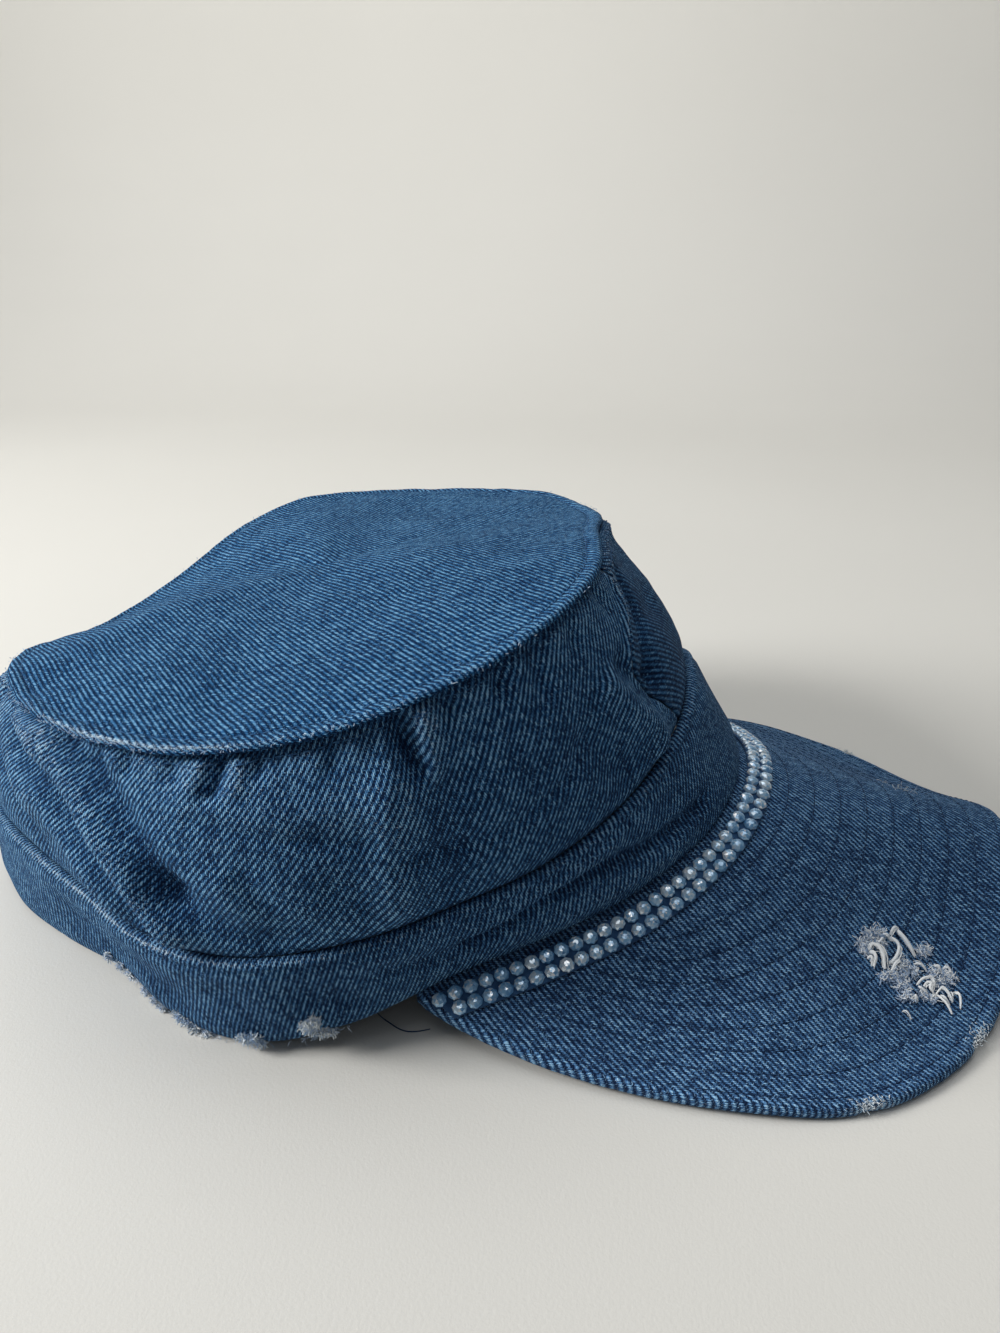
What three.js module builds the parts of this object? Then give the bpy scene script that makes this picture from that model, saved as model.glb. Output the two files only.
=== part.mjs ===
// Denim cadet cap with two rows of cut rhinestones round the inner edge of its brim.
// Millimetres, +Z up, front (brim) towards -Y, wearer's right towards -X.
// It rests as it does on a table: the band's back half and the brim's two low sides touch the floor.
// Angles run round the cap in degrees: 0 at the front, 90 at the wearer's right, 180 at the back.
import * as THREE from 'three';

// ---------- driving dimensions ----------
const CLOTH = 1.6;          // wall and top panel
const BAND_CLOTH = 2.6;     // folded headband
const GAP = 0.3;            // clearance between neighbouring pieces
const BAND_LIP = 0.9;       // how far the band's upper edge stands out from the wall
const TOP_LIP = 0.8;        // how far the top panel's seam stands out from the wall
const TOP_DOME = 4.5;       // rise of the top panel's middle
const ROUND_STEP = 6;       // degrees between sections where the cloth is plain
const FINE_STEP = 3;        // degrees between sections where it is puckered

// Outline of the cap at every 15 degrees, right side and left side.
// band_r: lower edge of the band, seam_r and seam_z: where band and wall meet,
// top_r and top_z: where wall and top panel meet, full: outward fullness of the wall.
const SECTION_STEP = 15;
const SECTIONS = [
  // angle, band_r, seam_r, seam_z, right: top_r, top_z, full, left: top_r, top_z, full
  { angle: 0, band_r: 97.8, seam_r: 84.4, seam_z: 56.7, right: [60.8, 90.6, 4.5], left: [60.8, 90.6, 4.5] },
  { angle: 15, band_r: 95.6, seam_r: 85.8, seam_z: 52.8, right: [65.0, 91.6, 4.5], left: [62.4, 88.2, 4.5] },
  { angle: 30, band_r: 87.8, seam_r: 85.0, seam_z: 43.9, right: [72.3, 91.2, 4.0], left: [65.4, 85.6, 4.0] },
  { angle: 45, band_r: 80.0, seam_r: 82.0, seam_z: 35.5, right: [77.6, 87.4, 3.5], left: [70.4, 83.9, 3.5] },
  { angle: 60, band_r: 76.5, seam_r: 80.6, seam_z: 30.9, right: [79.9, 81.2, 4.5], left: [75.4, 81.9, 4.0] },
  { angle: 75, band_r: 79.6, seam_r: 84.5, seam_z: 28.8, right: [80.6, 75.0, 5.0], left: [78.4, 79.9, 4.5] },
  { angle: 90, band_r: 82.0, seam_r: 87.4, seam_z: 27.1, right: [80.4, 70.4, 5.0], left: [79.6, 78.5, 4.5] },
  { angle: 105, band_r: 80.3, seam_r: 85.4, seam_z: 25.8, right: [79.9, 67.8, 4.5], left: [80.2, 77.3, 4.5] },
  { angle: 120, band_r: 79.4, seam_r: 82.4, seam_z: 25.3, right: [79.6, 66.1, 4.0], left: [81.4, 74.2, 4.5] },
  { angle: 135, band_r: 83.6, seam_r: 85.0, seam_z: 25.2, right: [79.8, 64.0, 3.5], left: [82.0, 68.2, 4.0] },
  { angle: 150, band_r: 92.6, seam_r: 92.0, seam_z: 25.6, right: [80.3, 61.0, 3.5], left: [81.6, 62.2, 3.5] },
  { angle: 165, band_r: 100.6, seam_r: 98.9, seam_z: 25.9, right: [81.6, 57.8, 3.5], left: [81.8, 57.8, 3.5] },
  { angle: 180, band_r: 103.4, seam_r: 101.4, seam_z: 25.9, right: [82.4, 55.4, 3.5], left: [82.4, 55.4, 3.5] },
];

// Slanting seam between front panel and side panel: its angle at heights from band (0) to top panel (1).
const FRONT_SEAM = [
  { rise: 0, angle: 15.5 },
  { rise: 0.2, angle: 19 },
  { rise: 0.34, angle: 22 },
  { rise: 0.5, angle: 24.5 },
  { rise: 0.75, angle: 27.2 },
  { rise: 1, angle: 28.8 },
];

// Folds, dents and puckers of the wall. Each runs between two points given by angle and rise,
// stands out by height (a dent is negative) and fades over width, in mm.
const WALL_FOLDS = [
  // broad ridge running down from the back of the top seam
  { from: [150, 0.95], to: [134, 0.7], width: 8, height: 2.6 },
  { from: [134, 0.7], to: [111, 0.4], width: 7, height: 2.8 },
  { from: [111, 0.4], to: [100, 0.1], width: 6, height: 1.8 },
  { from: [140, 0.35], to: [124, 0.12], width: 8, height: -2.4 },
  // soft crease half way up the right side, lit above and hollow below
  { from: [92, 0.68], to: [66, 0.5], width: 7, height: 1.6 },
  { from: [96, 0.4], to: [64, 0.28], width: 8, height: -2.0 },
  // puckers hanging from the top seam
  { from: [89, 1.0], to: [89, 0.86], width: 3.2, height: -1.5 },
  { from: [76, 1.0], to: [75.5, 0.88], width: 3.0, height: -1.3 },
  { from: [65.5, 1.0], to: [65, 0.72], width: 3.4, height: -3.0 },
  { from: [70, 0.95], to: [69.5, 0.75], width: 3.4, height: 1.2 },
  { from: [60, 0.98], to: [59, 0.84], width: 2.8, height: -1.2 },
  // ridge beside the front seam and the pinch at the seam's middle
  { from: [33, 0.58], to: [26, 0.22], width: 5, height: 1.5 },
  { from: [27.5, 0.52], to: [22, 0.42], width: 4, height: -1.6 },
  // left side and back, where the same cloth slumps as softly
  { from: [-84, 0.62], to: [-58, 0.5], width: 9, height: 1.8 },
  { from: [-112, 0.85], to: [-128, 0.3], width: 9, height: -2.2 },
  { from: [-150, 0.8], to: [-166, 0.25], width: 9, height: 2.0 },
  { from: [-66, 1.0], to: [-66, 0.8], width: 4, height: -1.6 },
  { from: [176, 0.75], to: [164, 0.3], width: 9, height: -1.8 },
];

// Creases of the band, in the same terms, rising from its hem (0) to its upper edge (1).
const BAND_FOLDS = [
  { from: [58, 0.5], to: [37, 0.6], width: 4.5, height: -1.6 },
  { from: [37, 0.6], to: [17, 0.36], width: 4.5, height: -1.6 },
  { from: [104, 0.45], to: [128, 0.5], width: 7, height: -1.2 },
  { from: [-30, 0.5], to: [-62, 0.5], width: 6, height: -1.2 },
];

// Brim: its outline is one curve from each corner to the tip, its height an arch.
const BRIM = {
  thickness: 3.0,
  edge: 0.8,            // rounding of the outer edge
  corner: 66,           // angle at which each corner leaves the band
  tuck: 3.0,            // how far it reaches in under the band
  tip_y: -162.2,
  side_arm: 56.7,       // handle of the curve at the corner, and its splay
  side_splay: 22.5,
  tip_arm: 92.0,        // handle at the tip
  left: 0.92,           // the left side is bent in this much more
};
const ARCH = {
  rise: 29.1,           // underside at the band's front, above the floor
  fall: 0.174,          // slope down towards the tip
  half_width: 92.2,
  tip_half_width: 57.4,  // the arch tightens towards the tip
  tighten_from: -98,
  tighten_over: 52,
};
const BAND_LAND_FROM = 68;   // angles over which the band's hem comes down to the floor
const BAND_LAND_TO = 100;

// Rhinestones, in two rows on a narrow setting.
const STONE = {
  pitch: 3.43,
  radius: 1.6,
  table: 0.95,
  height: 1.15,
  sides: 8,
};
const SETTING = {
  inner: 0.9,           // distance of its edges and middle from the band's hem
  middle: 4.7,
  outer: 8.3,
  thickness: 0.5,
  first_angle: 64.7,    // where the rows begin, at either corner
};

const COLOUR = {
  crown_top: 0x3d628f,
  front_panel: 0x2b4c78,
  side_panel: 0x2f527f,
  band: 0x28476f,
  brim: 0x2c4b74,
  rhinestone_trim: 0xb4c6d4,
};

// ---------- small helpers ----------
const rad = (degrees) => (degrees * Math.PI) / 180;
const mix = (a, b, t) => a + (b - a) * t;
const clamp01 = (t) => Math.min(1, Math.max(0, t));
const ease = (t) => clamp01(t) ** 2 * (3 - 2 * clamp01(t));

// A smooth closed curve through one value per section, right side then left side.
function around(pick) {
  const last = SECTIONS.length - 1;
  const values = [];
  for (let k = 0; k < 2 * last; k += 1) {
    values.push(k <= last ? pick(SECTIONS[k], 'right') : pick(SECTIONS[2 * last - k], 'left'));
  }
  const n = values.length;
  return (angle) => {
    const place = (((angle / SECTION_STEP) % n) + n) % n;
    const k = Math.floor(place);
    const t = place - k;
    const p = [-1, 0, 1, 2].map((shift) => values[(k + shift + n) % n]);
    return 0.5 * (2 * p[1] + (p[2] - p[0]) * t + (2 * p[0] - 5 * p[1] + 4 * p[2] - p[3]) * t * t
      + (3 * p[1] - p[0] - 3 * p[2] + p[3]) * t ** 3);
  };
}
const bandR = around((s) => s.band_r);
const seamR = around((s) => s.seam_r);
const seamZ = around((s) => s.seam_z);
const topR = around((s, side) => s[side][0]);
const topZ = around((s, side) => s[side][1]);
const fullness = around((s, side) => s[side][2]);

const onRing = (angle, r, z) => [-r * Math.sin(rad(angle)), -r * Math.cos(rad(angle)), z];

function tableAt(rows, key, value, at) {
  let k = 0;
  while (k < rows.length - 2 && at > rows[k + 1][key]) k += 1;
  const t = clamp01((at - rows[k][key]) / (rows[k + 1][key] - rows[k][key]));
  return mix(rows[k][value], rows[k + 1][value], t);
}

// Height of all folds at one point of a strip whose height is `tall` mm.
function foldHeight(folds, angle, rise, tall) {
  const perDegree = 1.43;
  const turn = ((angle + 180) % 360 + 360) % 360 - 180;
  let sum = 0;
  for (const fold of folds) {
    const ax = fold.from[0] * perDegree;
    const ay = fold.from[1] * tall;
    const bx = fold.to[0] * perDegree;
    const by = fold.to[1] * tall;
    const px = turn * perDegree;
    const py = rise * tall;
    const along = clamp01(((px - ax) * (bx - ax) + (py - ay) * (by - ay)) / ((bx - ax) ** 2 + (by - ay) ** 2));
    const away = Math.hypot(px - mix(ax, bx, along), py - mix(ay, by, along));
    sum += fold.height * Math.exp(-((away / fold.width) ** 2));
  }
  return sum;
}

// ---------- surfaces ----------
// Upper face of the brim, which the band's hem and the stones follow.
function brimTop(x, y) {
  const tight = ease((ARCH.tighten_from - y) / ARCH.tighten_over);
  const half = mix(ARCH.half_width, ARCH.tip_half_width, tight);
  const across = Math.min(1, Math.abs(x) / half);
  const bell = (1 + Math.cos(Math.PI * across)) / 2;
  return BRIM.thickness + (ARCH.rise + ARCH.fall * (y - ARCH.tighten_from)) * bell;
}

// The hem of the band sits on the brim and lands on the floor behind its corners.
function hemZ(angle, x, y) {
  const turn = Math.abs(((angle + 180) % 360 + 360) % 360 - 180);
  const landed = ease((turn - BAND_LAND_FROM) / (BAND_LAND_TO - BAND_LAND_FROM));
  return (brimTop(x, y) + GAP) * (1 - landed);
}

function hemPoint(angle, inset) {
  const [x, y] = onRing(angle, bandR(angle) - inset, 0);
  return [x, y, hemZ(angle, x, y)];
}

// Top panel: a tilted, slightly domed oval. `part` runs from its middle (0) to its rim (1).
const TOP_MIDDLE = [0, 8, (topZ(0) + topZ(180) + topZ(90) + topZ(-90)) / 4 - 0.5];
function topPanel(angle, part, under) {
  const rim = onRing(angle, topR(angle), topZ(angle));
  const x = mix(TOP_MIDDLE[0], rim[0], part);
  const y = mix(TOP_MIDDLE[1], rim[1], part);
  const plane = mix(TOP_MIDDLE[2], rim[2], part);
  return [x, y, plane + TOP_DOME * (1 - Math.min(1, part) ** 2) - under];
}

// Height of the top panel's upper face at a point given by angle and radius near its rim.
function topRimZ(angle, r) {
  const rim = onRing(angle, topR(angle), topZ(angle));
  const inward = (topR(angle) - r) / Math.hypot(rim[0] - TOP_MIDDLE[0], rim[1] - TOP_MIDDLE[1]);
  return topPanel(angle, 1 - inward, 0)[2];
}

// Directions of the band and wall in the upright plane through one angle.
function slope(lowR, lowZ, highR, highZ) {
  const length = Math.hypot(highR - lowR, highZ - lowZ);
  return { up: [(highR - lowR) / length, (highZ - lowZ) / length], out: [(highZ - lowZ) / length, (lowR - highR) / length] };
}
function planes(angle) {
  const hem = hemPoint(angle, 0);
  const band = slope(bandR(angle), hem[2], seamR(angle), seamZ(angle));
  const wall = slope(seamR(angle), seamZ(angle), topR(angle), topZ(angle));
  const mitre = [band.out[0] + wall.out[0], band.out[1] + wall.out[1]];
  const size = Math.hypot(...mitre);
  return { hem, band, wall, mitre: [mitre[0] / size, mitre[1] / size] };
}

// Outer (depth 0) and inner face of the wall.
function wallPoint(angle, rise, depth) {
  const { wall, mitre } = planes(angle);
  const inset = BAND_LIP + depth;
  const lowR = seamR(angle) - inset * mitre[0] + (GAP / 2) * wall.up[0];
  const lowZ = seamZ(angle) - inset * mitre[1] + (GAP / 2) * wall.up[1];
  const highR = topR(angle) - depth;
  const highZ = topRimZ(angle, highR) - CLOTH - GAP;
  const swell = fullness(angle) * 4 * rise * (1 - rise) * (0.75 + 0.5 * (1 - rise));
  const free = Math.min(1, 14 * rise) * Math.min(1, 22 * (1 - rise));
  const out = swell + free * foldHeight(WALL_FOLDS, angle, rise, 46);
  return onRing(angle, mix(lowR, highR, rise) + out * wall.out[0], mix(lowZ, highZ, rise) + out * wall.out[1]);
}

// Outer (depth 0) and inner face of the band.
function bandPoint(angle, rise, depth) {
  const { band, mitre } = planes(angle);
  const low = hemPoint(angle, depth);
  const lowR = bandR(angle) - depth;
  const highR = seamR(angle) - depth * mitre[0] - (GAP / 2) * band.up[0];
  const highZ = seamZ(angle) - depth * mitre[1] - (GAP / 2) * band.up[1];
  const free = Math.min(1, 5 * rise) * Math.min(1, 6 * (1 - rise));
  const out = free * (1.0 + foldHeight(BAND_FOLDS, angle, rise, 28));
  return onRing(angle, mix(lowR, highR, rise) + out * band.out[0], mix(low[2], highZ, rise) + out * band.out[1]);
}

// Outline of the brim. `turn` runs from the right corner (1) through the tip (0) to the left corner (-1).
function brimOutline(turn) {
  const side = turn < 0 ? -1 : 1;
  const t = 1 - Math.abs(turn);
  const corner = onRing(BRIM.corner, bandR(BRIM.corner), 0);
  const splay = rad(BRIM.side_splay);
  const arm = [corner[0] - BRIM.side_arm * Math.sin(splay), corner[1] - BRIM.side_arm * Math.cos(splay)];
  const tip = [0, BRIM.tip_y];
  const tipArm = [-BRIM.tip_arm, BRIM.tip_y];
  const at = [0, 1].map((k) => (1 - t) ** 3 * corner[k] + 3 * (1 - t) ** 2 * t * arm[k]
    + 3 * (1 - t) * t * t * tipArm[k] + t ** 3 * tip[k]);
  const inward = side < 0 ? mix(1, BRIM.left, ease(4 * t)) : 1;
  return [side * at[0] * inward, at[1]];
}

function brimPlan(turn, part, back) {
  const [ix, iy] = onRing(turn * BRIM.corner, bandR(turn * BRIM.corner) - BRIM.tuck, 0);
  const [ox, oy] = brimOutline(turn);
  const reach = Math.hypot(ox - ix, oy - iy);
  const t = part * (1 - Math.min(0.6, back / reach));
  return [mix(ix, ox, t), mix(iy, oy, t)];
}

// ---------- meshes ----------
// A closed solid through a row of closed outlines. Each outline has the same number of points, in order.
function solid(name, outlines, closedRow, extra = []) {
  const places = [];
  const index = new Map();
  const corner = (p) => {
    const key = p.map((v) => Math.round(v * 2000)).join(',');
    if (!index.has(key)) {
      index.set(key, places.length / 3);
      places.push(...p);
    }
    return index.get(key);
  };
  const faces = [];
  const face = (a, b, c) => {
    const f = [corner(a), corner(b), corner(c)];
    if (f[0] !== f[1] && f[1] !== f[2] && f[0] !== f[2]) faces.push(...f);
  };
  const rows = outlines.length;
  for (let i = 0; i < (closedRow ? rows : rows - 1); i += 1) {
    const here = outlines[i];
    const next = outlines[(i + 1) % rows];
    for (let j = 0; j < here.length; j += 1) {
      const k = (j + 1) % here.length;
      face(here[j], next[j], next[k]);
      face(here[j], next[k], here[k]);
    }
  }
  if (rows && !closedRow) {
    for (const [outline, first] of [[outlines[0], true], [outlines[rows - 1], false]]) {
      let a = 0;
      let b = outline.length - 1;
      while (b - a > 1) {
        if (first) {
          face(outline[a], outline[a + 1], outline[b]);
          if (b - 1 > a + 1) face(outline[a + 1], outline[b - 1], outline[b]);
        } else {
          face(outline[a], outline[b], outline[a + 1]);
          if (b - 1 > a + 1) face(outline[a + 1], outline[b], outline[b - 1]);
        }
        a += 1;
        b -= 1;
      }
    }
  }
  for (const triangle of extra) face(...triangle);
  let volume = 0;
  for (let f = 0; f < faces.length; f += 3) {
    const [a, b, c] = [0, 1, 2].map((k) => new THREE.Vector3(...places.slice(3 * faces[f + k], 3 * faces[f + k] + 3)));
    volume += a.dot(b.cross(c)) / 6;
  }
  if (volume < 0) {
    for (let f = 0; f < faces.length; f += 3) [faces[f], faces[f + 1]] = [faces[f + 1], faces[f]];
  }
  const geometry = new THREE.BufferGeometry();
  geometry.setAttribute('position', new THREE.Float32BufferAttribute(places, 3));
  geometry.setIndex(faces);
  geometry.computeVertexNormals();
  const stones = name === 'rhinestone_trim';
  const material = new THREE.MeshStandardMaterial({
    color: COLOUR[name],
    roughness: stones ? 0.12 : 0.9,
    metalness: 0,
    flatShading: stones,
  });
  const mesh = new THREE.Mesh(geometry, material);
  mesh.name = name;
  return mesh;
}

function steps(from, to, step) {
  const count = Math.max(1, Math.round(Math.abs(to - from) / step));
  return Array.from({ length: count }, (_, k) => mix(from, to, k / count));
}

// One outline of a cloth strip: up its outer face and down its inner face.
function stripOutline(rises, outer, inner) {
  return [...rises.map(outer), ...[...rises].reverse().map(inner)];
}

const WALL_RISES = [0, 0.12, 0.26, 0.4, 0.54, 0.68, 0.8, 0.91, 1];
const BAND_RISES = [0, 0.22, 0.42, 0.6, 0.8, 1];
const FRONT_BASE = FRONT_SEAM[0].angle;
const seamAngle = (rise) => tableAt(FRONT_SEAM, 'rise', 'angle', rise);
const HALF_GAP_ANGLE = 0.11;

function sidePanel() {
  const angles = [
    ...steps(FRONT_BASE, 33, 6),
    ...steps(33, 96, FINE_STEP),
    ...steps(96, 180, ROUND_STEP),
    ...steps(180, 300, ROUND_STEP),
    ...steps(300, 360 - FRONT_BASE, ROUND_STEP),
    360 - FRONT_BASE,
  ];
  const outlines = angles.map((plain) => {
    const at = (rise) => {
      const start = seamAngle(rise) + HALF_GAP_ANGLE;
      const side = plain <= 180 ? 1 : -1;
      const off = plain <= 180 ? plain : 360 - plain;
      const turn = mix(start, 180, (off - FRONT_BASE) / (180 - FRONT_BASE));
      return side > 0 ? turn : 360 - turn;
    };
    return stripOutline(WALL_RISES, (v) => wallPoint(at(v), v, 0), (v) => wallPoint(at(v), v, CLOTH));
  });
  return solid('side_panel', outlines, false);
}

function frontPanel() {
  const outlines = [];
  const columns = 8;
  for (let k = 0; k <= columns; k += 1) {
    const across = mix(1, -1, k / columns);
    const at = (rise) => across * (seamAngle(rise) - HALF_GAP_ANGLE);
    outlines.push(stripOutline(WALL_RISES, (v) => wallPoint(at(v), v, 0), (v) => wallPoint(at(v), v, CLOTH)));
  }
  return solid('front_panel', outlines, false);
}

function bandPiece() {
  const angles = [...steps(0, 180, 5), ...steps(180, 360, ROUND_STEP)];
  const outlines = angles.map((angle) => stripOutline(BAND_RISES,
    (v) => bandPoint(angle, v, 0), (v) => bandPoint(angle, v, BAND_CLOTH)));
  return solid('band', outlines, true);
}

function crownTop() {
  const parts = [0, 0.3, 0.58, 0.8, 0.93, 1];
  const outlines = steps(0, 360, ROUND_STEP).map((angle) => {
    const rim = topPanel(angle, 1, 0);
    const [ox, oy] = onRing(angle, topR(angle) + TOP_LIP, 0);
    return [
      ...parts.map((part) => topPanel(angle, part, 0)),
      [ox, oy, rim[2] - CLOTH / 2 - 0.2],
      ...[...parts].reverse().map((part) => topPanel(angle, part, CLOTH)),
    ];
  });
  return solid('crown_top', outlines, true);
}

function brimPiece() {
  const parts = [0, 0.17, 0.35, 0.55, 0.78, 1];
  const turns = [...steps(1, 0.8, 0.05), ...steps(0.8, -0.8, 0.065), ...steps(-0.8, -1, 0.05), -1];
  const outlines = turns.map((turn) => {
    const upper = parts.map((part) => {
      const [x, y] = brimPlan(turn, part, BRIM.edge);
      return [x, y, brimTop(x, y)];
    });
    const [ex, ey] = brimPlan(turn, 1, 0);
    const lower = [...parts].reverse().map((part) => {
      const [x, y] = brimPlan(turn, part, BRIM.edge);
      return [x, y, brimTop(x, y) - BRIM.thickness];
    });
    return [...upper, [ex, ey, brimTop(ex, ey) - BRIM.thickness / 2], ...lower];
  });
  return solid('brim', outlines, false);
}

// A point of the brim's upper face at a distance from the band's hem, with its local directions.
function besideHem(angle, away) {
  const back = onRing(angle + 0.5, bandR(angle + 0.5), 0);
  const ahead = onRing(angle - 0.5, bandR(angle - 0.5), 0);
  const run = new THREE.Vector2(ahead[0] - back[0], ahead[1] - back[1]).normalize();
  const here = onRing(angle, bandR(angle), 0);
  const x = here[0] - run.y * -away;
  const y = here[1] + run.x * -away;
  const d = 0.5;
  const up = new THREE.Vector3(brimTop(x - d, y) - brimTop(x + d, y), brimTop(x, y - d) - brimTop(x, y + d), 2 * d).normalize();
  return { place: new THREE.Vector3(x, y, brimTop(x, y)), up };
}

function rhinestoneTrim() {
  // angles at equal distances along the line between the two rows
  const fine = steps(SETTING.first_angle, -SETTING.first_angle, 0.25).concat(-SETTING.first_angle);
  const run = [0];
  for (let k = 1; k < fine.length; k += 1) {
    run.push(run[k - 1] + besideHem(fine[k], SETTING.middle).place.distanceTo(besideHem(fine[k - 1], SETTING.middle).place));
  }
  const count = Math.floor(run[run.length - 1] / STONE.pitch);
  const start = (run[run.length - 1] - count * STONE.pitch) / 2;
  const angleAt = (distance) => {
    let k = 0;
    while (k < run.length - 2 && run[k + 1] < distance) k += 1;
    return mix(fine[k], fine[k + 1], clamp01((distance - run[k]) / (run[k + 1] - run[k])));
  };
  const lines = [SETTING.inner, SETTING.middle, SETTING.outer];
  const face = (angle, away, lift) => {
    const { place, up } = besideHem(angle, away);
    return place.clone().addScaledVector(up, lift).toArray();
  };
  const low = GAP;
  const high = GAP + SETTING.thickness;
  const edges = Array.from({ length: count + 1 }, (_, k) => angleAt(start + k * STONE.pitch));
  const triangles = [];
  const quad = (a, b, c, d) => triangles.push([a, b, c], [a, c, d]);
  // the outer row starts one stone later than the inner row
  const present = (k, row) => (row === 0 ? k >= 0 && k < count : row === 1 && k >= 1 && k < count - 1);
  for (let k = 0; k < count; k += 1) {
    const [a, b] = [edges[k], edges[k + 1]];
    const mid = angleAt(start + (k + 0.5) * STONE.pitch);
    for (let row = 0; row < 2; row += 1) {
      if (!present(k, row)) continue;
      const ends = [[a, lines[row]], [a, lines[row + 1]], [b, lines[row + 1]], [b, lines[row]]];
      const cell = ends.map(([angle, away]) => face(angle, away, high));
      const under = ends.map(([angle, away]) => face(angle, away, low));
      quad(...under);
      const beside = [present(k - 1, row), present(k, row + 1), present(k + 1, row), present(k, row - 1)];
      beside.forEach((taken, side) => {
        const next = (side + 1) % 4;
        if (!taken) quad(cell[side], cell[next], under[next], under[side]);
      });
      const centre = besideHem(mid, (lines[row] + lines[row + 1]) / 2 + (row ? -0.2 : 0.2));
      const along = new THREE.Vector3(...cell[3]).sub(new THREE.Vector3(...cell[0]));
      along.addScaledVector(centre.up, -along.dot(centre.up)).normalize();
      const across = new THREE.Vector3().crossVectors(centre.up, along);
      if (new THREE.Vector3(...cell[1]).sub(new THREE.Vector3(...cell[0])).dot(across) < 0) across.negate();
      const ring = (radius, lift) => Array.from({ length: STONE.sides }, (_, s) => {
        const turn = rad(22.5 + (360 / STONE.sides) * s);
        return centre.place.clone().addScaledVector(centre.up, lift)
          .addScaledVector(along, -radius * Math.cos(turn)).addScaledVector(across, -radius * Math.sin(turn)).toArray();
      });
      const foot = ring(STONE.radius, high);
      const table = ring(STONE.table, high + STONE.height);
      // setting round the stone: a corner faces every other side of it
      const corners = [cell[0], cell[3], cell[2], cell[1]];
      for (let c = 0; c < 4; c += 1) {
        const p = foot[2 * c];
        const q = foot[2 * c + 1];
        const r = foot[(2 * c + 2) % 8];
        triangles.push([corners[c], q, p]);
        triangles.push([corners[c], r, q], [corners[c], corners[(c + 1) % 4], r]);
      }
      for (let s = 0; s < STONE.sides; s += 1) {
        const t = (s + 1) % STONE.sides;
        triangles.push([foot[s], foot[t], table[t]], [foot[s], table[t], table[s]]);
        if (s > 0 && t > 0) triangles.push([table[0], table[s], table[t]]);
      }
    }
  }
  return triangles;
}

// Give every triangle of a closed surface the same sense as its neighbours, starting from the first.
function orient(triangles) {
  const key = (p) => p.map((v) => Math.round(v * 2000)).join(',');
  const keys = triangles.map((t) => t.map(key));
  const byEdge = new Map();
  keys.forEach((t, f) => t.forEach((a, k) => {
    const b = t[(k + 1) % 3];
    const edge = a < b ? `${a}|${b}` : `${b}|${a}`;
    if (!byEdge.has(edge)) byEdge.set(edge, []);
    byEdge.get(edge).push(f);
  }));
  const seen = new Set([0]);
  const queue = [0];
  while (queue.length) {
    const f = queue.pop();
    for (let k = 0; k < 3; k += 1) {
      const a = keys[f][k];
      const b = keys[f][(k + 1) % 3];
      for (const g of byEdge.get(a < b ? `${a}|${b}` : `${b}|${a}`)) {
        if (seen.has(g)) continue;
        seen.add(g);
        queue.push(g);
        const at = keys[g].indexOf(a);
        if (keys[g][(at + 1) % 3] === b) {
          keys[g].reverse();
          triangles[g].reverse();
        }
      }
    }
  }
  return triangles;
}

// ---------- the part ----------
const part = new THREE.Group();
part.name = 'cadet_cap';
part.add(crownTop(), frontPanel(), sidePanel(), bandPiece(), brimPiece());
part.add(solid('rhinestone_trim', [], false, orient(rhinestoneTrim())));

// The origin is the middle of the bounding box's underside.
const box = new THREE.Box3();
for (const mesh of part.children) {
  mesh.geometry.computeBoundingBox();
  box.union(mesh.geometry.boundingBox);
}
const shift = [-(box.min.x + box.max.x) / 2, -(box.min.y + box.max.y) / 2, -box.min.z];
for (const mesh of part.children) mesh.geometry.translate(...shift);

export default part;
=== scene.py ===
import math

import bpy
import numpy as np
from mathutils import Matrix, Vector


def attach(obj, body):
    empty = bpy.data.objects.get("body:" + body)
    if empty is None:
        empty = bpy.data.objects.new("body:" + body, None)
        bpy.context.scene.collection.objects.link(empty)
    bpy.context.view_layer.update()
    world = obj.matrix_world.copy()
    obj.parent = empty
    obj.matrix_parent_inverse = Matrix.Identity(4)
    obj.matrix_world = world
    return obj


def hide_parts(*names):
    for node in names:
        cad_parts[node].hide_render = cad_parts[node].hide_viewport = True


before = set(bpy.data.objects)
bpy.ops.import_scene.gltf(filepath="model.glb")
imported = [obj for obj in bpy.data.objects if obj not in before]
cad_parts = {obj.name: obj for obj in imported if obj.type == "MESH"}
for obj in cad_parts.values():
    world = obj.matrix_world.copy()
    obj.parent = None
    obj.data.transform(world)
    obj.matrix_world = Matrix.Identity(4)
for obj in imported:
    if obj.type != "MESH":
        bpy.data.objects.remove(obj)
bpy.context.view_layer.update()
bpy.ops.object.select_all(action="DESELECT")

# Sizes of the cloth and of its overlaps
CLOTH = 1.6
TOP_CLOTH = 1.24
BAND_CLOTH = 2.6
BRIM_CLOTH = 3.0
GAP = 0.3
BAND_LIP = 0.9
TOP_LIP = 0.8
TOP_DOME = 4.5
# Usual heights of the wall and the band, and the length of a degree round them
WALL_TALL = 46
BAND_TALL = 28
DEGREE = 1.43
# The least height over the table, and a distance to the stitches that means none are near
TABLE_CLEAR = 0.02
NO_STITCHES = 9.0
# From the middle in which the cap was measured to the frame's origin
SHIFT = np.array([-0.166, 29.24, 0.0])
BODY = "root"

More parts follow.
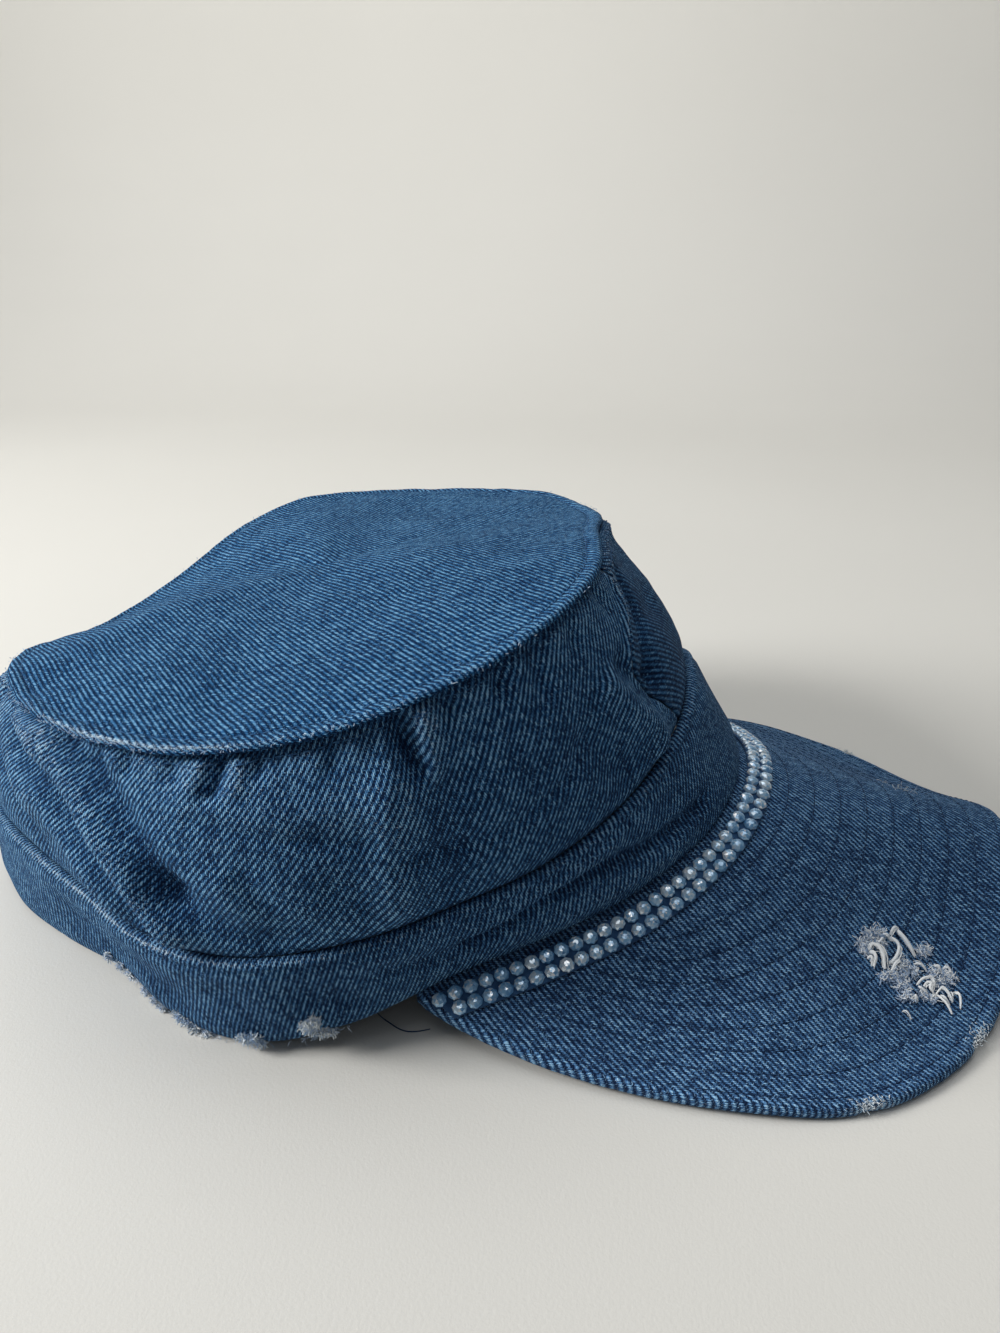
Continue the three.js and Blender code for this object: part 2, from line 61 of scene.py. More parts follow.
# Outline of the cap at every 15 degrees
SECTION_STEP = 15
SECTIONS = [
    # angle, band_r, seam_r, seam_z, right side: top_r, top_z, full, left side: top_r, top_z, full
    (0, 97.8, 84.4, 56.7, 59.6, 90.0, 3.0, 59.6, 90.0, 3.0),
    (15, 95.6, 85.8, 52.8, 64.0, 91.4, 3.4, 61.2, 88.2, 2.0),
    (30, 87.8, 85.0, 43.9, 72.0, 91.2, 4.0, 65.2, 85.2, 0.2),
    (45, 80.0, 82.0, 35.5, 77.6, 87.4, 3.5, 69.8, 83.2, 1.8),
    (60, 76.5, 80.6, 30.9, 79.9, 81.2, 4.5, 75.2, 81.9, 4.0),
    (75, 79.6, 84.5, 28.8, 80.6, 75.0, 5.0, 78.4, 79.9, 4.5),
    (90, 82.0, 87.4, 27.1, 80.4, 70.4, 5.0, 79.6, 78.5, 4.5),
    (105, 79.6, 85.4, 25.8, 79.9, 67.8, 4.5, 80.2, 77.8, 4.5),
    (120, 76.4, 82.2, 25.3, 79.6, 66.1, 4.0, 82.0, 76.0, 4.5),
    (135, 82.5, 84.8, 25.2, 80.2, 64.6, 3.5, 82.2, 69.0, 4.0),
    (150, 92.4, 92.0, 25.6, 82.0, 63.6, 3.5, 81.2, 59.8, 3.5),
    (165, 100.6, 98.9, 25.9, 83.0, 60.4, 3.5, 81.4, 55.2, 3.5),
    (180, 103.4, 101.4, 25.9, 82.4, 55.2, 3.5, 82.4, 55.2, 3.5),
]


def hill(x, middle, width):
    """1 at the middle, fading smoothly over the width."""
    return np.exp(-(((x - middle) / width) ** 2))


def ease(t):
    t = np.clip(t, 0, 1)
    return t * t * (3 - 2 * t)


def mix(a, b, t):
    return a + (b - a) * t


def unit(way):
    return way / np.linalg.norm(way, axis=-1, keepdims=True)


def through(a, b, c, d, t):
    """A smooth curve from b to c, with a before it and d after it."""
    return 0.5 * (2 * b + (c - a) * t + (2 * a - 5 * b + 4 * c - d) * t**2 + (3 * b - a - 3 * c + d) * t**3)


def around(right, left):
    """A column of SECTIONS as a smooth function of the angle."""
    last = len(SECTIONS) - 1
    values = [SECTIONS[k][right] for k in range(last + 1)]
    values += [SECTIONS[2 * last - k][left] for k in range(last + 1, 2 * last)]
    row = np.array(values)

    def at(angle):
        place = np.mod(np.asarray(angle, float) / SECTION_STEP, len(row))
        k = np.floor(place).astype(int)
        near_ones = [row[(k + step) % len(row)] for step in (-1, 0, 1, 2)]
        return through(*near_ones, place - k)

    return at


band_r = around(1, 1)
seam_ring = around(2, 2)
seam_z = around(3, 3)
top_r = around(4, 7)
top_z = around(5, 8)
fullness = around(6, 9)


def seam_r(angle):
    """The seam's ring, drawn in a little at the far side of the front."""
    return seam_ring(angle) - 2.2 * hill(short_turn(angle), -17, 15)


def on_ring(angle, r, z):
    turn = np.radians(angle)
    return np.stack(np.broadcast_arrays(-r * np.sin(turn), -r * np.cos(turn), z), -1)


def short_turn(angle):
    return np.mod(np.asarray(angle, float) + 180, 360) - 180


def near(angle, middle, width):
    """1 at an angle, fading over a width in degrees."""
    return hill(short_turn(np.asarray(angle) - middle), 0, width)


def fold_height(folds, angle, rise, tall):
    """Height of the folds at a place. A fold is a line of (angle, rise) points, a width and a height."""
    px = short_turn(angle) * DEGREE
    py = np.asarray(rise, float) * tall
    total = np.zeros(np.broadcast(px, py).shape)
    for points, width, height in folds:
        nearest = np.full(total.shape, 1e3)
        line = np.array(points) * (DEGREE, tall)
        for (ax, ay), (bx, by) in zip(line, line[1:]):
            size = (bx - ax) ** 2 + (by - ay) ** 2
            along = np.clip(((px - ax) * (bx - ax) + (py - ay) * (by - ay)) / size, 0, 1)
            nearest = np.minimum(nearest, np.hypot(px - mix(ax, bx, along), py - mix(ay, by, along)))
        total += height * hill(nearest, 0, width)
    return total


def brim_top(x, y):
    """Height of the brim's upper face: an arch, narrower towards the tip and slumped at its far crest."""
    half = mix(92.2, 57.4, ease((-98 - y) / 52))
    bell = (1 + np.cos(np.pi * np.minimum(1, np.abs(x) / half))) / 2
    slump = 3.1 * hill(x, 23, 24) * ease((-85 - y) / 28)
    return BRIM_CLOTH + (29.1 + 0.174 * (y + 98)) * bell - slump


def brim_up(x, y):
    """The way up from the brim's arch."""
    d = 0.5
    slope_x = brim_top(x - d, y) - brim_top(x + d, y)
    slope_y = brim_top(x, y - d) - brim_top(x, y + d)
    return unit(np.stack([slope_x, slope_y, np.full_like(slope_x, 2 * d)], -1))


def hem_point(angle, inset):
    p = on_ring(angle, band_r(angle) - inset, 0.0)
    landed = ease((np.abs(short_turn(angle)) - 68) / 32)
    p[..., 2] = (brim_top(p[..., 0], p[..., 1]) + GAP) * (1 - landed)
    return p


TOP_MIDDLE = np.array([0, 8, (top_z(0) + top_z(180) + top_z(90) + top_z(-90)) / 4 - 0.5])


def top_panel(angle, part, under):
    rim = on_ring(angle, top_r(angle), top_z(angle))
    p = TOP_MIDDLE + (rim - TOP_MIDDLE) * np.asarray(part)[..., None]
    p[..., 2] += TOP_DOME * (1 - np.minimum(1, part) ** 2) - under
    return p


def top_rim_z(angle, r):
    rim = on_ring(angle, top_r(angle), top_z(angle))
    inward = (top_r(angle) - r) / np.hypot(rim[..., 0] - TOP_MIDDLE[0], rim[..., 1] - TOP_MIDDLE[1])
    return top_panel(angle, 1 - inward, 0)[..., 2]


def planes(angle):
    """Ways up and out of the band and of the wall, the way between, and both heights."""
    hem_z = hem_point(angle, 0)[..., 2]
    br, sr, sz, tr, tz = band_r(angle), seam_r(angle), seam_z(angle), top_r(angle), top_z(angle)
    band_size = np.hypot(sr - br, sz - hem_z)
    wall_size = np.hypot(tr - sr, tz - sz)
    band_up = ((sr - br) / band_size, (sz - hem_z) / band_size)
    wall_up = ((tr - sr) / wall_size, (tz - sz) / wall_size)
    band_out = (band_up[1], -band_up[0])
    wall_out = (wall_up[1], -wall_up[0])
    mr, mz = band_out[0] + wall_out[0], band_out[1] + wall_out[1]
    size = np.hypot(mr, mz)
    return band_up, band_out, wall_up, wall_out, (mr / size, mz / size), band_size, wall_size


def band_height(angle):
    return planes(angle)[5]


def wall_height(angle):
    return planes(angle)[6]


def between_rings(angle, low, high, rise, out, out_way):
    """A point between two rings, given as radius and height, and moved out from there."""
    r = mix(low[0], high[0], rise) + out * out_way[0]
    z = mix(low[1], high[1], rise) + out * out_way[1]
    return on_ring(angle, r, z)


def wall_point(angle, rise, depth, proud):
    _, _, up, out_way, mitre, _, _ = planes(angle)
    inset = BAND_LIP + depth
    low_r = seam_r(angle) - inset * mitre[0] + GAP / 2 * up[0]
    low_z = seam_z(angle) - inset * mitre[1] + GAP / 2 * up[1]
    high_r = top_r(angle) - depth
    high_z = top_rim_z(angle, high_r) - TOP_CLOTH - 0.08
    swell = fullness(angle) * 4 * rise * (1 - rise) * (0.75 + 0.5 * (1 - rise))
    free = np.minimum(1, 14 * rise) * np.minimum(1, 22 * (1 - rise))
    out = swell + free * fold_height(WALL_FOLDS, angle, rise, WALL_TALL) + proud
    return between_rings(angle, (low_r, low_z), (high_r, high_z), rise, out, out_way)


def band_point(angle, rise, depth, proud):
    up, out_way, _, _, mitre, _, _ = planes(angle)
    low = (band_r(angle) - depth, hem_point(angle, depth)[..., 2])
    high_r = seam_r(angle) - depth * mitre[0] - GAP / 2 * up[0]
    high_z = seam_z(angle) - depth * mitre[1] - GAP / 2 * up[1]
    free = np.maximum(0, np.minimum(1, 5 * rise) * np.minimum(1, 6 * (1 - rise)))
    out = free * (1.0 + fold_height(BAND_FOLDS, angle, rise, BAND_TALL)) + proud
    return between_rings(angle, low, (high_r, high_z), rise, out, out_way)


# The brim's outline: where it leaves the band, how far and at what angle, and its tip
BRIM_CORNER = 66.0
BRIM_ARM = 56.7
BRIM_SPLAY = np.radians(22.5)
BRIM_TIP = -162.2
BRIM_TIP_ARM = -92.0


def brim_outline(turn):
    """The brim's edge in plan, from its left corner (-1) over the tip (0) to its right corner (1)."""
    t = 1 - np.abs(np.asarray(turn, float))[..., None]
    corner = on_ring(BRIM_CORNER, band_r(BRIM_CORNER), 0.0)[:2]
    arm = corner - BRIM_ARM * np.array([np.sin(BRIM_SPLAY), np.cos(BRIM_SPLAY)])
    tip_arm = np.array([BRIM_TIP_ARM, BRIM_TIP])
    tip = np.array([0, BRIM_TIP])
    at = (1 - t) ** 3 * corner + 3 * (1 - t) ** 2 * t * arm + 3 * (1 - t) * t**2 * tip_arm + t**3 * tip
    inward = np.where(turn < 0, mix(1, 0.92, ease(4 * t[..., 0])), 1.0)
    out = 1 + 0.016 * hill(turn, 0.50, 0.12)
    return np.stack([np.where(turn < 0, -1, 1) * at[..., 0] * inward * out, at[..., 1] * out], -1)


def ripple(place, size, seed):
    """Soft unevenness of hand-worn cloth, between -1 and 1, at points given in mm."""
    draw = np.random.default_rng(seed)
    waves = 7
    ways = unit(draw.normal(size=(waves, place.shape[-1])))
    lengths = size * draw.uniform(0.6, 1.6, waves)
    phases = draw.uniform(0, 2 * math.pi, waves)
    total = 0.0
    for way, length, phase in zip(ways, lengths, phases):
        total = total + np.sin(place @ way * 2 * math.pi / length + phase)
    return total / 4.0


def plan(x, y):
    return np.stack(np.broadcast_arrays(np.asarray(x, float), y), -1)


TOP_DENTS = [
    # x, y, width and height in mm: the sag of the far rim and small dents by the near one
    (14, 74, 26, -1.6),
    (-20, 82, 18, -1.0),
    (60, 10, 30, -1.2),
    (-52, 56, 8, -0.9),
    (-62, 40, 7, -0.8),
    (-66, 8, 7, -0.7),
    (10, 0, 38, 0.8),
]


def top_dent(x, y, loose):
    """How far the top is out of its plain dome: dents, and unevenness where the cloth lies loose."""
    lift = 0.40 * ripple(plan(x, y), 34, 21) * loose + 0.12 * ripple(plan(x, y), 10, 22)
    for dent_x, dent_y, width, height in TOP_DENTS:
        lift = lift + height * np.exp(-((x - dent_x) ** 2 + (y - dent_y) ** 2) / width**2)
    return lift


# Folds of the wall and creases of the band: from, to, width and height in mm
WALL_FOLDS = [
    # the long ridge at the right of the back, with its hollows
    ([(133, 0.93), (126, 0.89), (118, 0.83), (113.5, 0.74), (108.5, 0.6), (104.5, 0.48), (100.5, 0.25),
      (98, 0.1)], 4.6, 3.0),
    ([(133, 0.78), (122, 0.66), (114, 0.46), (108, 0.26), (104.5, 0.10)], 4.6, -2.3),
    ([(118, 0.94), (108.5, 0.77), (102.5, 0.58), (97, 0.34)], 4.2, -3.4),
    ([(98, 0.34), (92, 0.22), (84, 0.12)], 4.4, -2.2),
    ([(126, 0.56), (116, 0.34), (110, 0.12)], 4.0, 1.1),
    ([(152, 0.95), (140, 0.74), (131, 0.5)], 6.0, 1.8),
    ([(149, 0.62), (138, 0.44), (130, 0.2)], 5.0, -1.4),
    # soft swells and thin creases of the near side
    ([(94, 0.80), (82, 0.73), (66, 0.66)], 5.5, 1.0),
    ([(93, 0.73), (89, 0.69), (83, 0.62), (77, 0.585), (71, 0.52)], 1.3, -0.6),
    ([(77, 0.58), (70, 0.48), (65.5, 0.40)], 2.4, -0.5),
    ([(67, 0.39), (61, 0.35), (56, 0.315), (49, 0.33), (43, 0.38)], 1.9, -0.9),
    ([(86.5, 0.45), (84, 0.32), (82.3, 0.18)], 2.2, -0.7),
    ([(89.5, 0.42), (87, 0.2)], 3.0, 0.7),
    ([(76, 0.36), (73, 0.22)], 3.0, -0.8),
    ([(68.6, 0.74), (68.0, 0.5), (68.2, 0.16)], 4.2, 1.9),
    ([(60.5, 0.62), (60.2, 0.4), (60.8, 0.16)], 5.5, -2.0),
    ([(51, 0.62), (48, 0.46)], 3.4, -0.9),
    # puckers under the top seam
    ([(89.7, 1.0), (89.6, 0.95), (90.6, 0.84)], 1.7, -2.4),
    ([(87.2, 0.99), (87.0, 0.86)], 1.8, 0.9),
    ([(92.6, 0.98), (93.0, 0.88)], 2.0, 0.8),
    ([(66.8, 1.0), (66.2, 0.88), (64.6, 0.74)], 2.0, -3.6),
    ([(63.8, 0.99), (63.2, 0.90), (62.6, 0.72)], 2.4, 1.9),
    ([(47, 0.96), (46, 0.78)], 2.6, -1.2),
    ([(39, 0.98), (39, 0.86)], 2.0, -1.0),
    # the front corner
    ([(34, 0.62), (30, 0.42), (25, 0.22), (23, 0.06)], 3.0, 2.4),
    ([(30.5, 0.62), (26.5, 0.52), (21, 0.40)], 2.2, -1.6),
    ([(27, 0.47), (23, 0.30)], 2.0, -0.9),
    ([(40, 0.46), (35, 0.30), (31, 0.12)], 3.6, -1.5),
    ([(30, 0.97), (28, 0.86)], 2.4, -1.1),
    ([(14, 0.62), (4, 0.5)], 5, -1.2),
    ([(18, 0.95), (8, 0.965), (-8, 0.965), (-26, 0.955), (-44, 0.93)], 3.4, 1.6),
    ([(21.6, 0.92), (21.3, 0.84), (24.5, 0.72), (26.8, 0.60), (25.6, 0.47)], 1.7, 1.2),
    ([(15, 0.84), (15.5, 0.68), (20, 0.52), (20.5, 0.36)], 3.0, -2.0),
    # the far side and the back
    ([(-84, 0.62), (-58, 0.5)], 9, 1.8),
    ([(-84, 0.46), (-60, 0.34)], 5, -1.2),
    ([(-112, 0.85), (-121, 0.55), (-128, 0.3)], 7, -2.2),
    ([(-120, 0.9), (-130, 0.6), (-138, 0.35)], 4.4, 1.6),
    ([(-150, 0.8), (-160, 0.5), (-166, 0.25)], 7, 2.0),
    ([(176, 0.75), (170, 0.5), (164, 0.3)], 7, -1.8),
]
# Small puckers that start at the top seam: angle there, angle and rise of their end, width and height
PUCKERS = [
    (112.2, 111, 0.9, 2.0, -1.1), (105, 104.5, 0.9, 1.8, -1.3), (97, 96.7, 0.9, 1.8, -1.1),
    (84.5, 84.2, 0.92, 1.5, -1.2), (81.7, 81.6, 0.93, 1.4, -1.0), (75.2, 75, 0.88, 1.9, -1.4),
    (70.2, 70.2, 0.91, 1.6, -1.2), (60.2, 60, 0.9, 1.7, -1.8), (52.8, 52.4, 0.90, 1.9, -1.9),
    (-66, -66, 0.8, 2.6, -2.0), (-51, -51.5, 0.86, 2.2, -1.5), (-78, -78, 0.9, 2.0, -1.4),
    (-93, -93.4, 0.84, 2.5, -1.8), (-109, -108.6, 0.9, 2.0, -1.3), (-133, -133, 0.87, 2.4, -1.6),
    (-158, -158, 0.9, 2.0, -1.3), (168, 168, 0.88, 2.2, -1.4), (146, 146.5, 0.88, 2.2, -1.5),
]
WALL_FOLDS += [([(angle, 1.0), (end, rise)], width, height) for angle, end, rise, width, height in PUCKERS]
BAND_FOLDS = [
    ([(58, 0.48), (46.5, 0.66), (36.5, 0.6), (28, 0.43), (18, 0.34)], 2.0, -2.1),
    ([(56, 0.68), (36, 0.80)], 3.0, 0.9),
    ([(50, 0.34), (24, 0.20)], 4.0, 1.0),
    ([(70, 0.62), (60, 0.42)], 3.0, -1.1),
    ([(128, 0.5), (104, 0.45)], 7, -1.2),
    ([(122, 0.72), (108, 0.3)], 3.0, 0.7),
    ([(92, 0.6), (88, 0.25)], 4.0, -0.8),
    ([(82, 0.62), (76, 0.36)], 3.4, -0.9),
    ([(-30, 0.5), (-62, 0.5)], 6, -1.2),
]


# Camera: place in mm, turns, and focal length in pixels of a picture 1000 wide
CAMERA_PLACE = np.array([-220.39, -79.134, 154.098])
CAMERA_TURN = math.radians(-79.0)
CAMERA_TILT = math.radians(24.265)
CAMERA_ROLL = math.radians(-0.783)
CAMERA_FOCUS = 967.69
PICTURE_WIDE = 1000
SENSOR = 36.0


def add_camera():
    """The camera looks down at the cap's right side, the brim to the right."""
    back = Vector((
        math.sin(CAMERA_TURN) * math.cos(CAMERA_TILT),
        -math.cos(CAMERA_TURN) * math.cos(CAMERA_TILT),
        math.sin(CAMERA_TILT),
    ))
    right = (-back).cross(Vector((0, 0, 1))).normalized()
    up = right.cross(-back)
    rolled_right = math.cos(CAMERA_ROLL) * right + math.sin(CAMERA_ROLL) * up
    rolled_up = -math.sin(CAMERA_ROLL) * right + math.cos(CAMERA_ROLL) * up
    bpy.ops.object.camera_add()
    camera = bpy.context.object
    camera.name = "camera"
    turn = Matrix((rolled_right, rolled_up, back)).transposed()
    camera.matrix_world = Matrix.Translation(Vector(metres(CAMERA_PLACE))) @ turn.to_4x4()
    camera.data.sensor_fit = "HORIZONTAL"
    camera.data.sensor_width = SENSOR
    camera.data.lens = SENSOR * CAMERA_FOCUS / PICTURE_WIDE
    camera.data.clip_start = 0.005
    camera.data.dof.use_dof = False
    bpy.context.scene.camera = camera


def metres(points):
    return (np.asarray(points, float) + SHIFT) / 1000


# Shader maths
class Value:
    """One output of a node. Sums, products and comparisons on it add their Math nodes."""

    def __init__(self, nodes, socket):
        self.nodes = nodes
        self.socket = socket

    def maths(self, operation, *others):
        return self.nodes.add("Math", {"operation": operation}, dict(enumerate([self, *others])))

    def __rsub__(self, other):
        return self.nodes.add("Math", {"operation": "SUBTRACT"}, {0: other, 1: self})

    def within(self):
        return self.maths("MAXIMUM", 0.0).maths("MINIMUM", 1.0)

    def between(self, low, high):
        """0 below low, 1 above high, straight between."""
        return ((self - low) / (high - low)).within()

    def hump(self, middle, width):
        """1 at the middle, fading to 0 at a distance of width."""
        return (1 - ((self - middle).size() / width)).within()


def maths_method(operation):
    return lambda value, *others: value.maths(operation, *others)


MATHS = {
    "__add__": "ADD", "__radd__": "ADD", "__sub__": "SUBTRACT", "__mul__": "MULTIPLY", "__rmul__": "MULTIPLY",
    "__truediv__": "DIVIDE", "floor": "FLOOR", "fraction": "FRACT", "sine": "SINE", "size": "ABSOLUTE",
    "power": "POWER", "most": "MAXIMUM",
}
for METHOD, OPERATION in MATHS.items():
    setattr(Value, METHOD, maths_method(OPERATION))


class Finish:
    """A material under construction."""

    def __init__(self, name):
        self.material = bpy.data.materials.new(name)
        self.material.use_nodes = True
        self.tree = self.material.node_tree
        self.tree.nodes.clear()

    def add(self, kind, settings=None, inputs=None, out=0):
        node = self.tree.nodes.new("ShaderNode" + kind)
        for key, value in (settings or {}).items():
            if key == "stops":
                self.set_stops(node.color_ramp, value)
            else:
                setattr(node, key, value)
        for key, value in (inputs or {}).items():
            if isinstance(value, Value):
                self.tree.links.new(value.socket, node.inputs[key])
            else:
                node.inputs[key].default_value = value
        return Value(self, node.outputs[out]) if len(node.outputs) else None

    def set_stops(self, ramp, stops):
        while len(ramp.elements) > 1:
            ramp.elements.remove(ramp.elements[0])
        ramp.elements[0].position = stops[0][0]
        ramp.elements[0].color = (*stops[0][1], 1)
        for place, colour in stops[1:]:
            ramp.elements.new(place).color = (*colour, 1)

    def noise(self, vector, scale, detail=2.0, roughness=0.5, out=0):
        inputs = {"Vector": vector, "Scale": scale, "Detail": detail, "Roughness": roughness}
        return self.add("TexNoise", {}, inputs, out)

    def blend(self, factor, first, second):
        settings = {"data_type": "RGBA", "blend_type": "MIX", "clamp_factor": True}
        return self.add("Mix", settings, {0: factor, 6: first, 7: second}, 2)

    def ramp(self, light, stops):
        return self.add("ValToRGB", {"stops": stops}, {0: light})

    def attribute(self, name):
        return self.add("Attribute", {"attribute_name": name}, {}, 2)

    def object_place(self):
        return self.add("TexCoord", {}, {}, 3)

    def bump(self, strength, distance, height):
        return self.add("Bump", {}, {"Strength": strength, "Distance": distance, "Height": height})

    def finish(self, settings):
        self.add("OutputMaterial", {}, {"Surface": self.add("BsdfPrincipled", {}, settings)})
        return self.material


def blue(red, green, blue_part):
    """A colour given as it looks on a screen, from 0 to 255, as the shader wants it."""
    parts = (red, green, blue_part)
    return tuple(((c / 255 + 0.055) / 1.055) ** 2.4 if c > 10 else c / 255 / 12.92 for c in parts)


# Twill: distances between warp yarns and between weft yarns, in mm
WARP_PITCH = 0.31
WEFT_PITCH = 0.47
# A warp yarn floats over this many weft yarns, out of a cycle of so many
FLOAT = 3.0
CYCLE = 4.0
# How much each unevenness counts in the cloth's light, and its middle
RISE_LIGHT = 0.42
FLOAT_LIGHT = 0.40
MOTTLE_LIGHT = 0.30
FLUFF_LIGHT = 0.90
STREAK_LIGHT = 0.30
YARN_LIGHT = 0.12
PATCH_LIGHT = 0.40
SMALL_PATCH_LIGHT = 0.26
MIDDLE_LIGHT = 0.36

DARK = blue(2, 26, 58)
MID = blue(28, 82, 130)
WORN = blue(64, 126, 178)
WEFT = blue(112, 158, 196)
PALE = blue(130, 180, 214)
FRAYED = blue(206, 222, 232)


def twill(name, turn, hand, tone=1.0, contrast=1.8, richness=1.0, row_every=0.0, reverse=0.0):
    """Washed blue twill. Its warp runs at `turn` degrees on the cloth, its ribs climb to the side of `hand`.

    The cloth's own map is in millimetres. Attributes: wear and painted shade, from -1 (painted shade in
    hollows and seams) to 1 (rubbed pale by wear), and row, the distance to a line of stitches, repeated at
    row_every.
    """
    f = Finish(name)
    cloth = f.add("UVMap", {"uv_map": "cloth"})
    sway = f.noise(cloth, 0.11, 2.0, 0.5, 1)
    swayed = f.add("VectorMath", {"operation": "SCALE"}, {0: sway, "Scale": 0.5})
    jitter = f.noise(cloth, 0.8, 1.0, 0.5, 1)
    jittered = f.add("VectorMath", {"operation": "SCALE"}, {0: jitter, "Scale": 0.20})
    moved = f.add("VectorMath", {"operation": "ADD"}, {0: cloth, 1: swayed})
    moved = f.add("VectorMath", {"operation": "ADD"}, {0: moved, 1: jittered})
    turned = f.add("Mapping", {"vector_type": "POINT"}, {0: moved, 2: (0, 0, math.radians(turn))})
    x = f.add("SeparateXYZ", {}, {0: turned})
    y = Value(f, x.socket.node.outputs[1])

    # Each warp yarn floats over three weft yarns, then dives under one
    yarn = x / WARP_PITCH
    column = yarn.floor()
    pick = (y / WEFT_PITCH + column * hand) / CYCLE
    along = pick.fraction() * CYCLE
    side = (yarn - column) * 2 - 1
    rounding = 1 - side * side
    bulge = (along * (math.pi / FLOAT)).sine().most(0.0).power(0.8)
    warp_rise = bulge * (0.5 + rounding * 0.5)
    weft_side = (along - 3.5) * 2
    weft_rise = (1 - weft_side * weft_side).most(0.0) * 0.30
    rise = warp_rise.most(weft_rise)
    weft_shows = along.between(2.95, 3.15) * (1 - along.between(3.85, 4.0))

    worn = f.attribute("worn")
    row = f.attribute("row")
    if row_every:
        row = ((row / row_every).fraction() - 0.5) * row_every
    sunk = row.hump(0.0, 0.9)

    # Every float has its own tone; yarns, streaks and patches add theirs
    cell = f.add("CombineXYZ", {}, {0: column, 1: pick.floor()})
    spot = f.add("TexWhiteNoise", {"noise_dimensions": "2D"}, {"Vector": cell}, 0)
    yarn_tone = f.add("TexWhiteNoise", {"noise_dimensions": "1D"}, {"W": column}, 0)
    streak_map = f.add("Mapping", {"vector_type": "POINT"}, {0: turned, 3: (2.4, 0.06, 1)})
    streak = f.noise(streak_map, 1.0, 2.0, 0.6) - 0.5
    mottle = f.noise(moved, 1.25, 2.0, 0.6) - 0.5
    fluff = f.noise(moved, 4.2, 2.0, 0.65) - 0.5
    patch = f.noise(cloth, 0.05, 3.0, 0.55) - 0.5
    small_patch = f.noise(cloth, 0.3, 2.0, 0.6) - 0.5

    # Raised floats are lighter and yarn sides and float ends darker: partly rubbed wear on the float tops,
    # partly painted shade in the grooves between yarns
    grain = rise * (RISE_LIGHT + spot * FLOAT_LIGHT) + mottle * MOTTLE_LIGHT + fluff * FLUFF_LIGHT
    light = (grain - MIDDLE_LIGHT) * contrast + MIDDLE_LIGHT
    light = light + streak * STREAK_LIGHT + (yarn_tone - 0.5) * YARN_LIGHT
    light = light + patch * PATCH_LIGHT + small_patch * SMALL_PATCH_LIGHT
    # Painted shade: negative values of the wear attribute darken hollows, seams and undersides, and sunk
    # darkens the stitch grooves; positive values are rubbed wear
    light = light + worn * (0.14 + rise * 0.34) - sunk * 0.08
    colour = f.ramp(light, [(0.0, DARK), (0.40, MID), (0.76, WORN), (1.0, PALE)])
    # Where the weft shows in the grooves it is painted mostly dark as painted shade, with a few pale flecks
    # of weft
    fleck = f.noise(moved, 2.6, 1.0, 0.5).between(0.58, 0.68)
    shaded_weft_colour = f.blend(fleck, (*DARK, 1), (*WEFT, 1))
    colour = f.blend(weft_shows * 0.65, colour, shaded_weft_colour)
    if reverse:
        colour = f.blend(reverse, colour, (*FRAYED, 1))
    rubbed = (worn + fluff * 3.0 + mottle * 1.2 + rise * 0.25).between(0.80, 1.30)
    colour = f.blend(rubbed * 0.8, colour, (*FRAYED, 1))
    toned = f.add("HueSaturation", {}, {"Saturation": richness, "Value": tone, "Color": colour})
    height = rise * 0.9 + fluff * 0.9 + mottle * 0.5 - sunk * 0.8
    return f.finish({
        "Base Color": toned,
        "Roughness": 0.97 - rise * 0.12,
        "Specular IOR Level": 0.08,
        "Sheen Weight": 0.04,
        "Sheen Roughness": 0.5,
        "Sheen Tint": (0.35, 0.6, 0.9, 1),
        "Normal": f.bump(0.85, 0.0003, height),
    })


def yarn_finish(name, dark, light):
    """Cotton thread: pale or blue, mottled along its length."""
    f = Finish(name)
    place = f.object_place()
    mottle = f.noise(place, 900.0, 2.0, 0.6)
    strand = f.noise(place, 160.0, 1.0, 0.5)
    return f.finish({
        "Base Color": f.ramp(mottle * 0.5 + strand * 0.5, [(0.28, dark), (0.72, light)]),
        "Roughness": 0.9 - mottle * 0.1,
        "Specular IOR Level": 0.15,
        "Sheen Weight": 0.05,
        "Normal": f.bump(0.5, 0.0001, mottle),
    })


def stone_finish():
    """Grey-blue cut glass with painted reflections: each facet has its own painted brightness, and some are
    painted white as glints.
    """
    f = Finish("rhinestone_glass")
    flash = f.attribute("facet")
    cloud = f.noise(f.object_place(), 700.0, 2.0, 0.6)
    # Painted reflection colours, from dark facets up to white glints
    stops = [
        (0.0, blue(30, 74, 116)),
        (0.35, blue(74, 130, 178)),
        (0.7, blue(138, 186, 222)),
        (0.9, blue(204, 220, 230)),
        (1.0, blue(252, 254, 255)),
    ]
    return f.finish({
        "Base Color": f.ramp(flash + (cloud - 0.5) * 0.30, stops),
        "Roughness": 0.16 - cloud * 0.12,
        "Metallic": flash.between(0.2, 1.0) * 0.35,
        "Specular IOR Level": 0.8,
        "Coat Weight": 1.0,
        "Coat Roughness": 0.05,
    })


def floor_finish():
    """Matt off-white table top with a very fine grain."""
    f = Finish("pale_floor")
    place = f.object_place()
    grain = f.noise(place, 1400.0, 2.0, 0.6)
    cloud = f.noise(place, 4.0, 2.0, 0.5)
    tint = f.blend(cloud, (0.70, 0.685, 0.64, 1), (0.735, 0.72, 0.675, 1))
    return f.finish({
        "Base Color": f.blend(grain * 0.10, tint, (0.62, 0.61, 0.57, 1)),
        "Roughness": 0.75,
        "Specular IOR Level": 0.3,
        "Normal": f.bump(0.25, 0.0002, grain),
    })


